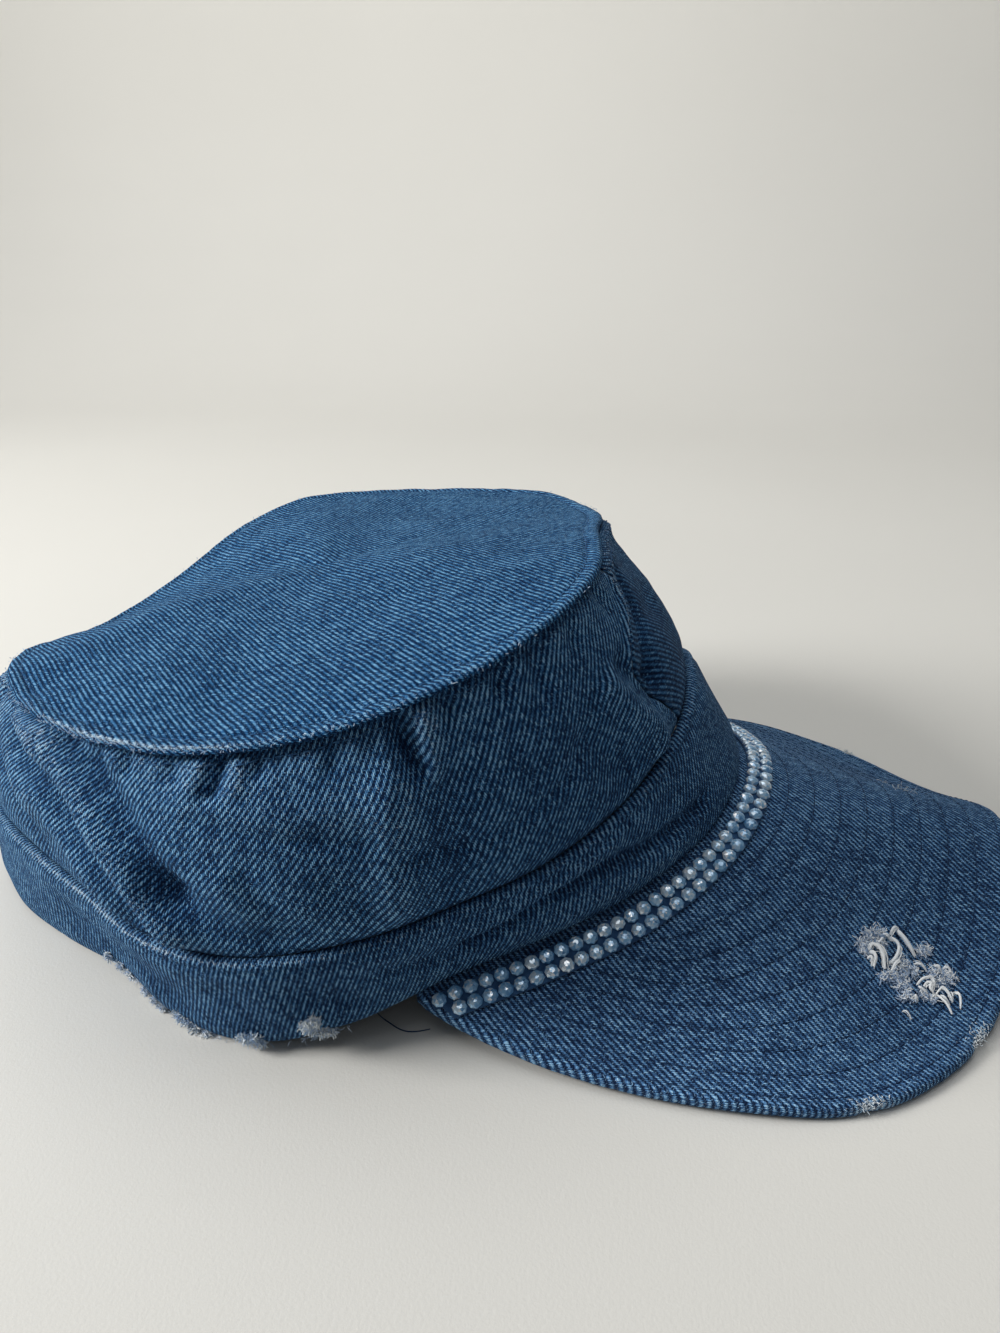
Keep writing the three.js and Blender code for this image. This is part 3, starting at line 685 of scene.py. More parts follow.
# Cloth pieces
def cloth_piece(name, columns, rows, place, finishes, inner=(0, 0)):
    """A closed shell of cloth, shaped from a plain grid.

    Columns run along the piece, rows run round its cut-through outline: up the outer face,
    over the upper edge, down the inner face and round the lower edge. `place` gives the points,
    the map on the cloth in mm, how worn it is together with its painted shade, and its distance
    to the stitches. The second finish is for the rows between both numbers of `inner`.
    """
    bpy.ops.object.select_all(action="DESELECT")
    bpy.ops.mesh.primitive_grid_add(x_subdivisions=columns, y_subdivisions=rows, size=2)
    piece = bpy.context.object
    piece.name = name
    mesh = piece.data
    mesh.name = name
    flat = np.zeros(len(mesh.vertices) * 3)
    mesh.vertices.foreach_get("co", flat)
    flat = flat.reshape(-1, 3)
    column = np.rint((flat[:, 0] + 1) / 2 * columns).astype(int)
    row = np.rint((flat[:, 1] + 1) / 2 * rows).astype(int)
    points, on_cloth, worn, stitch_row = place(column, row)
    mesh.vertices.foreach_set("co", metres(points).ravel())
    corner = np.zeros(len(mesh.loops), int)
    mesh.loops.foreach_get("vertex_index", corner)
    layer = mesh.uv_layers[0]
    layer.name = "cloth"
    layer.data.foreach_set("uv", on_cloth[corner].ravel())
    for label, values in (("worn", worn), ("row", stitch_row)):
        mesh.attributes.new(label, "FLOAT", "POINT").data.foreach_set("value", values.astype(np.float32))
    first = np.zeros(len(mesh.polygons), int)
    mesh.polygons.foreach_get("loop_start", first)
    middle = sum(row[corner[first + k]] for k in range(4)) / 4
    for finish in finishes:
        mesh.materials.append(finish)
    inside = (middle > inner[0]) & (middle < inner[1])
    mesh.polygons.foreach_set("material_index", inside.astype(int))
    mesh.polygons.foreach_set("use_smooth", np.ones(len(mesh.polygons), bool))
    bpy.ops.object.mode_set(mode="EDIT")
    bpy.ops.mesh.select_all(action="SELECT")
    bpy.ops.mesh.remove_doubles(threshold=0.000008)
    bpy.ops.mesh.normals_make_consistent(inside=False)
    bpy.ops.object.mode_set(mode="OBJECT")
    return piece


def keep(piece, slot, *nodes):
    """The piece rides with the cap and stands for its CAD nodes, which are hidden. The slot is not used."""
    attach(piece, BODY)
    if nodes:
        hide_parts(*nodes)
    return piece


def run_length(points):
    """Distance along a row of points, from its start."""
    steps = np.linalg.norm(np.diff(points, axis=0), axis=1)
    return np.concatenate([[0], np.cumsum(steps)])


# Distances round the wall and the band, from the back, continued past one turn
RING_FINE = np.linspace(-180, 540, 2881)
WALL_RUN = run_length(on_ring(RING_FINE, (seam_r(RING_FINE) + top_r(RING_FINE)) / 2, 0.0))
BAND_RUN = run_length(on_ring(RING_FINE, (seam_r(RING_FINE) + band_r(RING_FINE)) / 2, 0.0))


def along_wall(angle):
    return np.interp(angle, RING_FINE, WALL_RUN)


def along_band(angle):
    return np.interp(angle, RING_FINE, BAND_RUN)


FRONT_SEAM_RISE = (0, 0.2, 0.34, 0.48, 0.60, 0.68, 0.76, 0.84, 0.92, 1)
FRONT_SEAM_ANGLE = (14.5, 19.4, 23.0, 25.8, 26.6, 25.4, 23.0, 21.3, 21.6, 23.2)
SEAM_HALF_GAP = 0.11


def front_seam(rise):
    """Where the front panel ends on the right, following the slumped cloth there."""
    return np.interp(rise, FRONT_SEAM_RISE, FRONT_SEAM_ANGLE)


def left_seam(rise):
    return mix(15.0, 27.5, np.asarray(rise, float))


# Wall panels: rows of the outer and the inner face, how far a side edge curls in, stitches below the top
WALL_OUTER = 46
WALL_INNER = 34
WALL_EDGE = 0.75
WALL_STITCHES = 2.3


def wall_surface(angle, rise, depth):
    """The wall with its folds and a soft unevenness that fades at both seams."""
    rise = np.asarray(rise, float)
    place = on_ring(angle, seam_r(angle), rise * WALL_TALL)
    loose = np.clip(7 * rise, 0, 1) * np.clip(9 * (1 - rise), 0, 1)
    uneven = 0.42 * ripple(place, 24, 3) + 0.16 * ripple(place, 9, 4)
    gather = 0.34 * np.clip((rise - 0.8) / 0.15, 0, 1) * np.clip((1 - rise) / 0.03, 0, 1)
    puckered = gather * ripple(place, 5.2, 5)
    groove = 0.4 + 0.9 * near(angle, 78, 46)
    tucked = 0.7 * hill(rise * WALL_TALL, 0, 2.2) + groove * hill((1 - rise) * WALL_TALL, 0, 1.5)
    points = wall_point(angle, rise, depth, loose * uneven + puckered - tucked)
    points[..., 2] += rise**6 * top_dent(points[..., 0], points[..., 1], 0.25)
    return points


def wall_wear_and_shade(angle, rise):
    """Rubbed pale on ridges, below the top seam and beside the side seams; painted shade in the hollows and
    along the top seam, the band and the side seams. A little lighter round the near side and its back, a
    little darker low by the front corner.
    """
    below_top = (1 - rise) * WALL_TALL
    worn = np.clip(fold_height(WALL_FOLDS, angle, rise, WALL_TALL) * 0.16, -0.7, 0.24)
    worn = worn + 0.22 * hill(below_top, 2.5, 4.0) - 1.2 * hill(below_top, 0, 0.9)
    worn = worn - 0.8 * hill(rise * WALL_TALL, 0, 1.1)
    worn = worn + 0.10 * near(angle, 125, 32) + 0.08 * near(angle, 85, 24)
    worn = worn - 0.06 * near(angle, 40, 22) * (1 - ease((rise - 0.55) / 0.3))
    turn = short_turn(angle)
    side_seam = np.minimum(np.abs(turn - front_seam(rise)), np.abs(turn + left_seam(rise))) * 1.35
    return worn + 0.5 * hill(side_seam, 0.7, 0.6) - 0.8 * hill(side_seam, 0, 0.35)


def wall_panel(name, columns, ends_of, skewed, finishes):
    """A panel of the wall. ends_of gives its first and last angle at a rise."""
    outer = np.linspace(0, 1, WALL_OUTER + 1)
    inner = np.linspace(1, 0, WALL_INNER + 1)
    rise_of = np.concatenate([outer, inner])
    is_inner = np.repeat([0.0, 1.0], [len(outer), len(inner)])

    def place(column, row):
        row = np.where(row == len(rise_of), 0, row)
        rise = rise_of[row]
        angle = mix(*ends_of(rise), column / columns)
        from_end = np.minimum(column, columns - column) * WALL_EDGE
        curl = WALL_EDGE - np.sqrt(np.maximum(0, WALL_EDGE**2 - np.maximum(0, WALL_EDGE - from_end) ** 2))
        curl = np.where(from_end <= 0, CLOTH / 2, curl)
        depth = np.where(is_inner[row] > 0, CLOTH - curl, curl)
        tall = wall_height(angle)
        skew = -0.40 * ease((92 - angle) / 40) * skewed
        on_cloth = np.stack([along_wall(angle) + skew * (rise - 0.5) * tall, rise * tall], -1)
        worn = wall_wear_and_shade(angle, rise) * (1 - is_inner[row])
        stitch_row = np.where(is_inner[row] > 0, NO_STITCHES, (1 - rise) * tall - WALL_STITCHES)
        return wall_surface(angle, rise, depth), on_cloth, worn, stitch_row

    inner_rows = (WALL_OUTER + 0.9, WALL_OUTER + WALL_INNER + 1.1)
    return cloth_piece(name, columns, len(rise_of), place, finishes, inner_rows)


def side_ends(rise):
    return front_seam(rise) + SEAM_HALF_GAP, 360 - left_seam(rise) - SEAM_HALF_GAP


def front_ends(rise):
    return front_seam(rise) - SEAM_HALF_GAP, SEAM_HALF_GAP - left_seam(rise)


# Band: rows of its outer face, of each rounded edge and of its inner face
BAND_OUTER = 30
BAND_ROUND = 6
BAND_INNER = 8
# Frayed places of the hem: angle, half width in degrees, and how high they are eaten away in mm
HEM_FRAYS = [
    (119.5, 1.7, 1.6), (113.0, 1.9, 2.2), (108.5, 1.6, 1.6), (103.5, 1.8, 1.8), (98.0, 1.2, 0.6),
    (90.5, 1.7, 1.2), (80.5, 2.0, 1.4), (-97.0, 2.0, 1.2), (-141.0, 2.4, 1.5), (171.0, 1.8, 1.0),
]
# Cottony tufts of the hem: angle, height above the hem and radius in mm
HEM_TUFTS = [
    (122.5, 5.0, 0.9), (119.5, 4.0, 0.9), (117.0, 3.0, 0.8), (112.5, 2.0, 0.9), (110.0, 1.5, 0.8),
    (108.0, 1.0, 0.8), (103.5, 2.5, 1.0), (102.0, 1.8, 1.0), (100.5, 0.6, 0.8), (98.5, 0.4, 0.8),
    (91.5, 3.3, 1.0), (90.0, 3.0, 1.1), (89.2, 1.2, 0.8),
    (82.0, 6.4, 0.9), (81.0, 7.0, 1.1), (81.5, 4.6, 0.9), (80.2, 2.0, 1.0), (79.0, 1.0, 0.9),
    (-95.8, 1.5, 1.0), (-98.2, 0.8, 0.9), (-140.0, 1.6, 1.1), (-142.6, 0.8, 0.9), (171.5, 1.2, 1.0),
]


def hem_bite(angle):
    """How far the hem is frayed away at an angle, ragged from yarn to yarn."""
    place = on_ring(angle, band_r(angle), 0.0)
    ragged = 0.6 + 0.4 * ripple(place, 1.6, 8)
    bite = 0.10 * (1 + ripple(place, 3.0, 9))
    for middle, width, high in HEM_FRAYS:
        bite = bite + high * near(angle, middle, width) * ragged
    return np.maximum(bite, 0)


def band_surface(angle, rise, depth, proud=0.0):
    place = on_ring(angle, band_r(angle), rise * BAND_TALL)
    loose = np.clip(4 * rise, 0, 1) * np.clip(6 * (1 - rise), 0, 1)
    return band_point(angle, rise, depth, loose * 0.32 * ripple(place, 20, 11) + proud)


def band_wear_and_shade(angle, rise, tall):
    """Rubbed pale along the upper edge, on crease ridges and at the frayed places of the hem; painted shade
    in the crease hollows and in a line below the upper edge. A little lighter towards the back of the near
    side.
    """
    worn = np.clip(fold_height(BAND_FOLDS, angle, rise, BAND_TALL) * 0.26, -0.7, 0.3)
    from_top = (1 - rise) * tall
    strong = 0.34 + 0.40 * near(angle, 110, 34)
    worn = worn + strong * hill(from_top, 0.7, 0.5) - 0.3 * hill(from_top, 1.9, 0.5)
    worn = worn + 0.15 * near(angle, 130, 24)
    frayed = sum(near(angle, middle, width * 1.2) * min(1.0, high / 1.2) for middle, width, high in HEM_FRAYS)
    frayed = np.minimum(frayed, 1)
    return worn + (0.16 + 0.5 * frayed) * hill(rise * tall, 0, 0.9 + 1.2 * frayed)


def band(finishes):
    columns = 560
    half = BAND_CLOTH / 2
    turn = np.linspace(0, math.pi, BAND_ROUND + 1)
    # Rows from the hem: share of the height, depth, way over the edge, face, and length folded over
    hem = [(0, half * (1 + math.cos(t)), -half * math.sin(t), 0, -half * (math.pi - t)) for t in turn[:-1]]
    outside = [(k / BAND_OUTER, 0, 0, 1, 0) for k in range(BAND_OUTER + 1)]
    edge = [(1, half * (1 - math.cos(t)), half * math.sin(t), 2, half * t) for t in turn[1:]]
    inside = [(1 - k / BAND_INNER, BAND_CLOTH, 0, 3, half * math.pi) for k in range(1, BAND_INNER + 1)]
    parts = np.array(hem + outside + edge + inside)
    rows = len(parts) - 1

    def place(column, row):
        angle = column / columns * 360.0
        share, depth, over, part, folded = parts[row].T
        tall = band_height(angle)
        low = half / tall
        level = mix(low, 1 - low, share)
        rise = level + over / tall
        rise = rise + hem_bite(angle) / tall * (1 - np.clip(rise, 0, 1)) ** 3
        from_top = (1 - rise) * tall
        welt = (0.45 * hill(from_top, 0.9, 0.9) - 0.2 * hill(from_top, 2.2, 0.6)) * (part == 1)
        points = band_surface(angle, rise, depth, welt)
        points[:, 2] = np.maximum(points[:, 2], TABLE_CLEAR)
        on_cloth = np.stack([along_band(angle), level * tall + folded], -1)
        worn = band_wear_and_shade(angle, np.clip(rise, 0, 1), tall) * (part != 3)
        return points, on_cloth, worn, np.full(len(points), NO_STITCHES)

    return cloth_piece("head_band", columns, rows, place, finishes, (BAND_OUTER + 2 * BAND_ROUND, rows))


# Top panel: rows of its upper face, of its rolled edge and of its underside, and its stitches' distance
TOP_OUTER = 72
TOP_ROUND = 6
TOP_UNDER = 12
TOP_WELT = 2.6


def top_surface(angle, part, under):
    p = top_panel(angle, part, under)
    p[:, 2] += top_dent(p[:, 0], p[:, 1], np.clip((1 - part) * 12, 0.25, 1))
    return p


def crown_top(finishes):
    columns = 540
    rim_turns = np.linspace(0, math.pi, TOP_ROUND + 1)
    under_parts = np.linspace(1, 0, TOP_UNDER + 1)[1:]
    half = TOP_CLOTH / 2

    def place(column, row):
        angle = column / columns * 360.0
        radius = top_r(angle)
        outer = row <= TOP_OUTER
        inner = row > TOP_OUTER + TOP_ROUND

        def pick(above, edge, beneath):
            return np.where(outer, above, np.where(inner, beneath, edge))

        share = 1 - (1 - np.clip(row / TOP_OUTER, 0, 1)) ** 1.25
        from_rim = (1 - share) * radius
        turn = rim_turns[np.clip(row - TOP_OUTER, 0, TOP_ROUND)]
        under_row = np.clip(row - TOP_OUTER - TOP_ROUND - 1, 0, TOP_UNDER - 1)
        part = np.where(inner, under_parts[under_row], share)
        points = top_surface(angle, part, np.where(inner, 2 * half - 0.1, 0.0))
        points[:, 2] -= pick(0, half * (1 - np.cos(turn)), 0)
        lip = TOP_LIP * (0.1 + 0.9 * near(angle, 85, 48)) + pick(0, half * np.sin(turn), 0)
        lip = lip * pick(ease((share - 0.96) / 0.04), 1, 0)
        fray = 0.10 * ripple(on_ring(angle, radius, 0.0), 1.7, 23) * pick(share > 0.985, 1, 0)
        points = points + on_ring(angle, lip, 0.0) + on_ring(angle, fray, 0.0)
        welt = 0.28 * hill(from_rim, 0.8, 0.9) - 0.24 * hill(from_rim, TOP_WELT, 0.7)
        points[:, 2] += np.where(outer, welt, 0)
        folded = pick(0, half * turn, half * turn + half * math.pi + 2 * (1 - part) * radius)
        on_cloth = points[:, :2] + on_ring(angle, folded, 0.0)[:, :2]
        strong = 0.06 + 0.75 * near(angle, 106, 26) + 0.10 * near(angle, 50, 16)
        worn = strong * hill(from_rim, 0.1, 0.55) + 0.10 * hill(from_rim, 0, 3.0)
        # The rolled edge is rubbed pale over its top and darkened towards its underside: painted shade under
        # the lip
        lip_wear_and_shade = strong * hill(turn, 0, 0.7) - 0.7 * ease((turn - 0.8) / 0.8)
        stitch_row = np.where(outer, from_rim - TOP_WELT, NO_STITCHES)
        return points, on_cloth, pick(worn, lip_wear_and_shade, 0) + 0.08, stitch_row

    rows = TOP_OUTER + TOP_ROUND + TOP_UNDER
    return cloth_piece("top_panel", columns, rows, place, finishes, (TOP_OUTER + TOP_ROUND, rows + 1))


# Brim: rows of its upper face, of its rounded edge and of its underside, its tuck under the band,
# the roundness of its edge and the distance between rows of stitches
BRIM_OUTER = 64
BRIM_ROUND = 6
BRIM_UNDER = 24
BRIM_TUCK = 3.0
BRIM_EDGE = 1.25
BRIM_ROW = 6.2
# Worn bites of the brim's edge: place along the outline, width along it, depth in mm
BRIM_BITES = [(0.275, 0.016, 1.5), (0.475, 0.016, 1.0), (-0.36, 0.012, 0.9)]


def brim_lift(x, y):
    """Slight waviness of the stiffened cloth, on top of the plain arch."""
    return 0.28 * ripple(plan(x, y), 42, 31) + 0.07 * ripple(plan(x, y), 11, 32)


def brim_face(x, y):
    """A point of the brim's upper face, from its plan."""
    return np.stack([x, y, brim_top(x, y) + brim_lift(x, y) * brim_free(x, y)], -1)


def brim_free(x, y):
    """The brim keeps its plain arch beside the band, where the stones sit, and at the floor."""
    angle = np.degrees(np.arctan2(-x, -y))
    beyond = np.hypot(x, y) - band_r(angle)
    return ease((beyond - 7) / 8) * ease((brim_top(x, y) - 3.0) / 4)


def brim_bite(turn):
    """How far the brim's edge is frayed away."""
    edge = brim_outline(turn)
    bite = 0.08 * (1 + ripple(edge, 3.4, 33))
    for middle, width, deep in BRIM_BITES:
        bite = bite + deep * hill(turn, middle, width) * (0.6 + 0.4 * ripple(edge, 1.6, 34))
    return np.maximum(bite, 0)


def brim_span(turn):
    """From the brim's root under the band to its edge: both ends, the distance and the way."""
    root = on_ring(turn * BRIM_CORNER, band_r(turn * BRIM_CORNER) - BRIM_TUCK, 0.0)[..., :2]
    edge = brim_outline(turn)
    return root, edge, np.hypot(*(edge - root).T), unit(edge - root)


def brim(finishes):
    columns = 320
    round_turn = np.linspace(0, math.pi, BRIM_ROUND + 1)
    # Rows from the root: share of the way out, way past the edge, share of the thickness, face
    above = [(k / BRIM_OUTER, 0, 0, 0) for k in range(BRIM_OUTER + 1)]
    edge = [(1, BRIM_EDGE * math.sin(t), (1 - math.cos(t)) / 2, 1) for t in round_turn[1:]]
    beneath = [(1 - k / BRIM_UNDER, 0, 1, 2) for k in range(1, BRIM_UNDER + 1)]
    parts = np.array(above + edge + beneath)
    rows = len(parts)

    def place(column, row):
        turn = 1 - 2 * column / columns
        share, out, depth, part = parts[np.where(row == rows, 0, row)].T
        root, _, reach, outward = brim_span(turn)
        far = np.maximum(0.4, 1 - (BRIM_EDGE + brim_bite(turn)) / reach)
        travel = share * far + out / reach
        xy = root + outward * (travel * reach)[:, None]
        x, y = xy.T
        closing = np.minimum(1, np.minimum(column, columns - column) / 2)
        points = brim_face(x, y)
        points[:, 2] -= BRIM_CLOTH / 2 + (depth - 0.5) * BRIM_CLOTH * closing
        points[:, 2] = np.maximum(points[:, 2], TABLE_CLEAR)
        from_edge = (1 - travel) * reach
        folded = depth * 1.5 * BRIM_CLOTH - out + np.where(part == 2, 2 * from_edge, 0.0)
        on_cloth = xy + outward * folded[:, None]
        # The even 0.05 over the whole brim is painted light that brightens it; the rest is wear at its edge
        worn = 0.05 + 0.10 * hill(from_edge, 0, 0.8) + 0.10 * hill(from_edge, 0, 2.8)
        patch = np.hypot((x + 44.5) / 6.5, (y + 133.0) / 9.5)
        worn = worn + 0.30 * np.exp(-(patch**4)) * (part == 0)
        for middle, width, _ in BRIM_BITES:
            worn = worn + 0.5 * hill(turn, middle, 1.8 * width) * hill(from_edge, 0, 2.2)
        return points, on_cloth, worn, from_edge

    return cloth_piece("brim_cloth", columns, rows, place, finishes)


# Stones: their spacing and size, the lines beside the hem that bound their rows, and each row's nudge
STONE_PITCH = 3.43
STONE_RADIUS = 1.70
STONE_TALL = 1.28
STONE_SIDES = 8
SETTING_LINES = (0.9, 4.7, 8.3)
ROW_NUDGE = (0.22, -0.38)
SETTING_FIRST = 64.7
SETTING_THICK = 0.5


def beside_hem(angle, away):
    """A point on the brim at a distance from the band's hem, and the way up there."""
    angle = np.asarray(angle, float)
    back = on_ring(angle + 0.5, band_r(angle + 0.5), 0.0)
    ahead = on_ring(angle - 0.5, band_r(angle - 0.5), 0.0)
    run = unit((ahead - back)[..., :2])
    here = on_ring(angle, band_r(angle), 0.0)
    x = here[..., 0] + run[..., 1] * away
    y = here[..., 1] - run[..., 0] * away
    return np.stack([x, y, brim_top(x, y)], -1), brim_up(x, y)


def stone_stations():
    """Where the stones sit: centre, way up and way along, inner row first."""
    fine = np.arange(SETTING_FIRST, -SETTING_FIRST - 0.001, -0.25)
    run = run_length(beside_hem(fine, SETTING_LINES[1])[0])
    count = int(run[-1] / STONE_PITCH)
    start = (run[-1] - count * STONE_PITCH) / 2
    stations = []
    for row in range(2):
        for k in range(row, count - row):
            angle = np.interp(start + (k + 0.5) * STONE_PITCH, run, fine)
            away = (SETTING_LINES[row] + SETTING_LINES[row + 1]) / 2 + ROW_NUDGE[row]
            centre, up = beside_hem(angle, away)
            ahead, _ = beside_hem(angle - 0.6, away)
            along = ahead - centre
            stations.append((centre, up, unit(along - up * float(along @ up))))
    edges = np.interp(start + np.arange(count + 1) * STONE_PITCH, run, fine)
    return stations, edges


def stone_mesh():
    """Rings of a round cut: (radius, height, turn in steps), joined by triangles."""
    rings = [(0.95, 0.0, 0.0), (1.0, 0.30, 0.0), (0.78, 0.70, 0.5), (0.36, 0.94, 0.0)]
    points = []
    for radius, height, turn in rings:
        for k in range(STONE_SIDES):
            a = 2 * math.pi * (k + turn) / STONE_SIDES
            points.append((radius * math.cos(a), radius * math.sin(a), height))
    points += [(0, 0, 0.97), (0, 0, 0)]
    foot, girdle, crown, table, peak, base = (STONE_SIDES * k for k in (0, 1, 2, 3, 4, 4))
    base += 1
    faces = []
    for k in range(STONE_SIDES):
        n = (k + 1) % STONE_SIDES
        faces += [
            (foot + k, foot + n, girdle + n, girdle + k),
            (girdle + k, girdle + n, crown + k),
            (girdle + n, crown + n, crown + k),
            (crown + k, table + n, table + k),
            (crown + k, crown + n, table + n),
            (table + k, table + n, peak),
            (n, k, base),
        ]
    return np.array(points), faces


# The way to the window: facets that face it are painted lighter, and some painted white as glints
WINDOW_WAY = np.array([-0.50, 0.66, 0.56])


def stones(finish):
    draw = np.random.default_rng(7)
    points, faces = stone_mesh()
    all_points = []
    all_faces = []
    facet = []
    stations, _ = stone_stations()
    for centre, up, along in stations:
        spin = draw.uniform(0, 2 * math.pi)
        lean = draw.normal(0, 0.05, 2)
        tilt = unit(up + along * lean[0] + np.cross(up, along) * lean[1])
        side = unit(np.cross(tilt, along))
        ahead = np.cross(side, tilt)
        x_way = math.cos(spin) * ahead + math.sin(spin) * side
        y_way = -math.sin(spin) * ahead + math.cos(spin) * side
        seat = centre + up * (GAP + SETTING_THICK - 0.05)
        size = STONE_RADIUS * draw.uniform(0.97, 1.02)
        start = len(all_points) * len(points)
        flat = size * (points[:, :1] * x_way + points[:, 1:2] * y_way)
        placed = seat + flat + points[:, 2:] * STONE_TALL * tilt
        all_points.append(placed)
        all_faces += [tuple(start + i for i in face) for face in faces]
        # Painted reflections: facets that face the window are painted lighter, and a few, mostly those facing
        # it, are painted white as glints
        corners = [placed[list(face)] for face in faces]
        ways = unit(np.array([np.cross(c[1] - c[0], c[2] - c[0]) for c in corners]))
        lit = np.clip(ways @ WINDOW_WAY, 0, 1)
        mood = draw.normal(0.57, 0.08)
        light = np.clip(draw.normal(mood, 0.13, len(faces)) + 0.34 * lit**2, 0.04, 0.88)
        flash = draw.random(len(faces)) < 0.02 + 0.16 * lit**3
        facet.append(np.where(flash, 1.1, light))
    mesh = bpy.data.meshes.new("cut_stones")
    mesh.from_pydata(metres(np.vstack(all_points)).tolist(), [], all_faces)
    values = np.concatenate(facet).astype(np.float32)
    mesh.attributes.new("facet", "FLOAT", "FACE").data.foreach_set("value", values)
    mesh.materials.append(finish)
    piece = bpy.data.objects.new("cut_stones", mesh)
    bpy.context.collection.objects.link(piece)
    return piece


def setting_strip(finish):
    """The narrow strip that carries both rows of stones; its colour is painted shade, seen in the gaps
    between them.
    """
    _, edges = stone_stations()
    angles = np.interp(np.linspace(0, len(edges) - 1, 2 * len(edges) - 1), np.arange(len(edges)), edges)
    columns = len(angles) - 1
    profile = [(1.5, 0.0), (1.5, 0.40), (1.8, 0.5), (7.3, 0.5), (7.6, 0.40), (7.6, 0.0)]
    rows = len(profile)

    def place(column, row):
        away, lift = np.array(profile)[np.where(row == rows, 0, row)].T
        angle = angles[column]
        end = np.minimum(column, columns - column)
        away = np.where((end < 2) & (away > 4), 4.4, away)
        centre, up = beside_hem(angle, away)
        points = centre + up * (GAP + np.where(end == 0, 0.0, lift))[:, None]
        on_cloth = np.stack([angle, away], -1)
        return points, on_cloth, np.full(len(points), -0.9), np.full(len(points), NO_STITCHES)

    return cloth_piece("stone_setting", columns, rows, place, [finish])


# Stitches: spacing, length, radius and lift
WALL_STITCH = (2.7, 1.9, 0.15, 0.16)
TOP_STITCH = (2.7, 1.9, 0.14, 0.18)
BRIM_STITCH = (3.0, 2.2, 0.13, 0.09)
# Fibres: range of length, bend, number of points, range of radius, how far they thin at their ends
TUFT_YARN = ((0.72, 1.8), 0.8, 6, (0.09, 0.17), 0.4)
TUFT_FUZZ = ((0.6, 1.5), 0.8, 5, (0.05, 0.09), 0.5)
HEM_FIBRE = ((0.8, 1.9), 0.5, 5, (0.03, 0.06), 0.6)
RIM_FIBRE = ((0.35, 1.0), 0.5, 4, (0.05, 0.09), 0.5)
EDGE_FIBRE = ((0.4, 1.1), 0.9, 6, (0.05, 0.12), 0.5)
LOOSE_FIBRE = ((0.8, 2.6), 0.5, 6, (0.04, 0.09), 0.5)


# Threads
def thread_piece(name, strands, finish, sides):
    """Many thin strands as one mesh. A strand is its points, its radius and how far it thins at its ends."""
    curve = bpy.data.curves.new(name, "CURVE")
    curve.dimensions = "3D"
    curve.bevel_depth = 0.001
    curve.bevel_resolution = sides - 2
    curve.use_fill_caps = True
    curve.resolution_u = 1
    for points, radius, taper in strands:
        points = np.array(points)
        points[:, 2] = np.maximum(points[:, 2], radius + 0.02)
        spline = curve.splines.new("POLY")
        spline.points.add(len(points) - 1)
        spline.points.foreach_set("co", np.hstack([metres(points), np.ones((len(points), 1))]).ravel())
        t = np.linspace(-1, 1, len(points))
        spline.points.foreach_set("radius", radius * (1 - taper * np.abs(t) ** 3))
    piece = bpy.data.objects.new(name, curve)
    bpy.context.collection.objects.link(piece)
    bpy.ops.object.select_all(action="DESELECT")
    piece.select_set(True)
    bpy.context.view_layer.objects.active = piece
    bpy.ops.object.convert(target="MESH")
    piece = bpy.context.object
    piece.data.materials.clear()
    piece.data.materials.append(finish)
    piece.data.polygons.foreach_set("use_smooth", np.ones(len(piece.data.polygons), bool))
    return piece


def stitches(line, out_ways, pitch, length, radius, lift):
    """A run of stitches along a line on the cloth: each comes up, lies on it and goes down."""
    run = run_length(line)
    strands = []
    shape = np.array([-0.25, 0.55, 1.0, 0.55, -0.25])
    spots = np.linspace(0, 1, 5)
    for start in np.arange(0.5, run[-1] - length, pitch):
        at = start + spots * length
        points = np.stack([np.interp(at, run, line[:, k]) for k in range(3)], -1)
        ways = np.stack([np.interp(at, run, out_ways[:, k]) for k in range(3)], -1)
        strands.append((points + ways * (shape * lift)[:, None], radius, 0.35))
    return strands


def wall_stitches():
    """The line of stitches under the top seam."""
    angle = np.linspace(0, 360, 1201)
    rise = 1 - WALL_STITCHES / wall_height(angle)
    along = wall_surface(angle + 0.4, rise, 0.0) - wall_surface(angle - 0.4, rise, 0.0)
    upward = wall_surface(angle, rise + 0.008, 0.0) - wall_surface(angle, rise - 0.008, 0.0)
    ways = unit(np.cross(along, upward))
    ways = np.where((ways * on_ring(angle, 1.0, 0.0)).sum(-1, keepdims=True) < 0, -ways, ways)
    return stitches(wall_surface(angle, rise, 0.0), ways, *WALL_STITCH)


def top_stitches():
    """The line of stitches inside the top panel's rim."""
    angle = np.linspace(0, 360, 1201)
    line = top_surface(angle, 1 - TOP_WELT / top_r(angle), 0.22)
    ways = np.tile(np.array([0.0, 0.24, 0.97]), (len(angle), 1))
    return stitches(line, ways, *TOP_STITCH)


def brim_stitches():
    """Rows of stitches that follow the brim's edge."""
    strands = []
    root, _, reach, outward = brim_span(np.linspace(1, -1, 1201))
    for k in range(1, 10):
        away = BRIM_ROW * (k - 0.5)
        clear = reach > away + 12.5
        if clear.sum() < 40:
            continue
        x, y = (root + outward * (reach - away)[:, None])[clear].T
        strands += stitches(brim_face(x, y), brim_up(x, y), *BRIM_STITCH)
    return strands


def curl(draw, start, way, length, bend, steps):
    """One loose curly strand from a start point."""
    points = [np.array(start, float)]
    way = unit(way)
    turn = draw.normal(0, bend, 3)
    for _ in range(steps - 1):
        turn = 0.7 * turn + 0.6 * draw.normal(0, bend, 3)
        way = unit(way + turn)
        points.append(points[-1] + way * length / (steps - 1))
    return np.array(points)


def fibre(draw, start, way, lengths, bend, steps, radii, taper):
    """A curly strand with a random length and radius."""
    line = curl(draw, start, way, draw.uniform(*lengths), bend, steps)
    return line, draw.uniform(*radii), taper


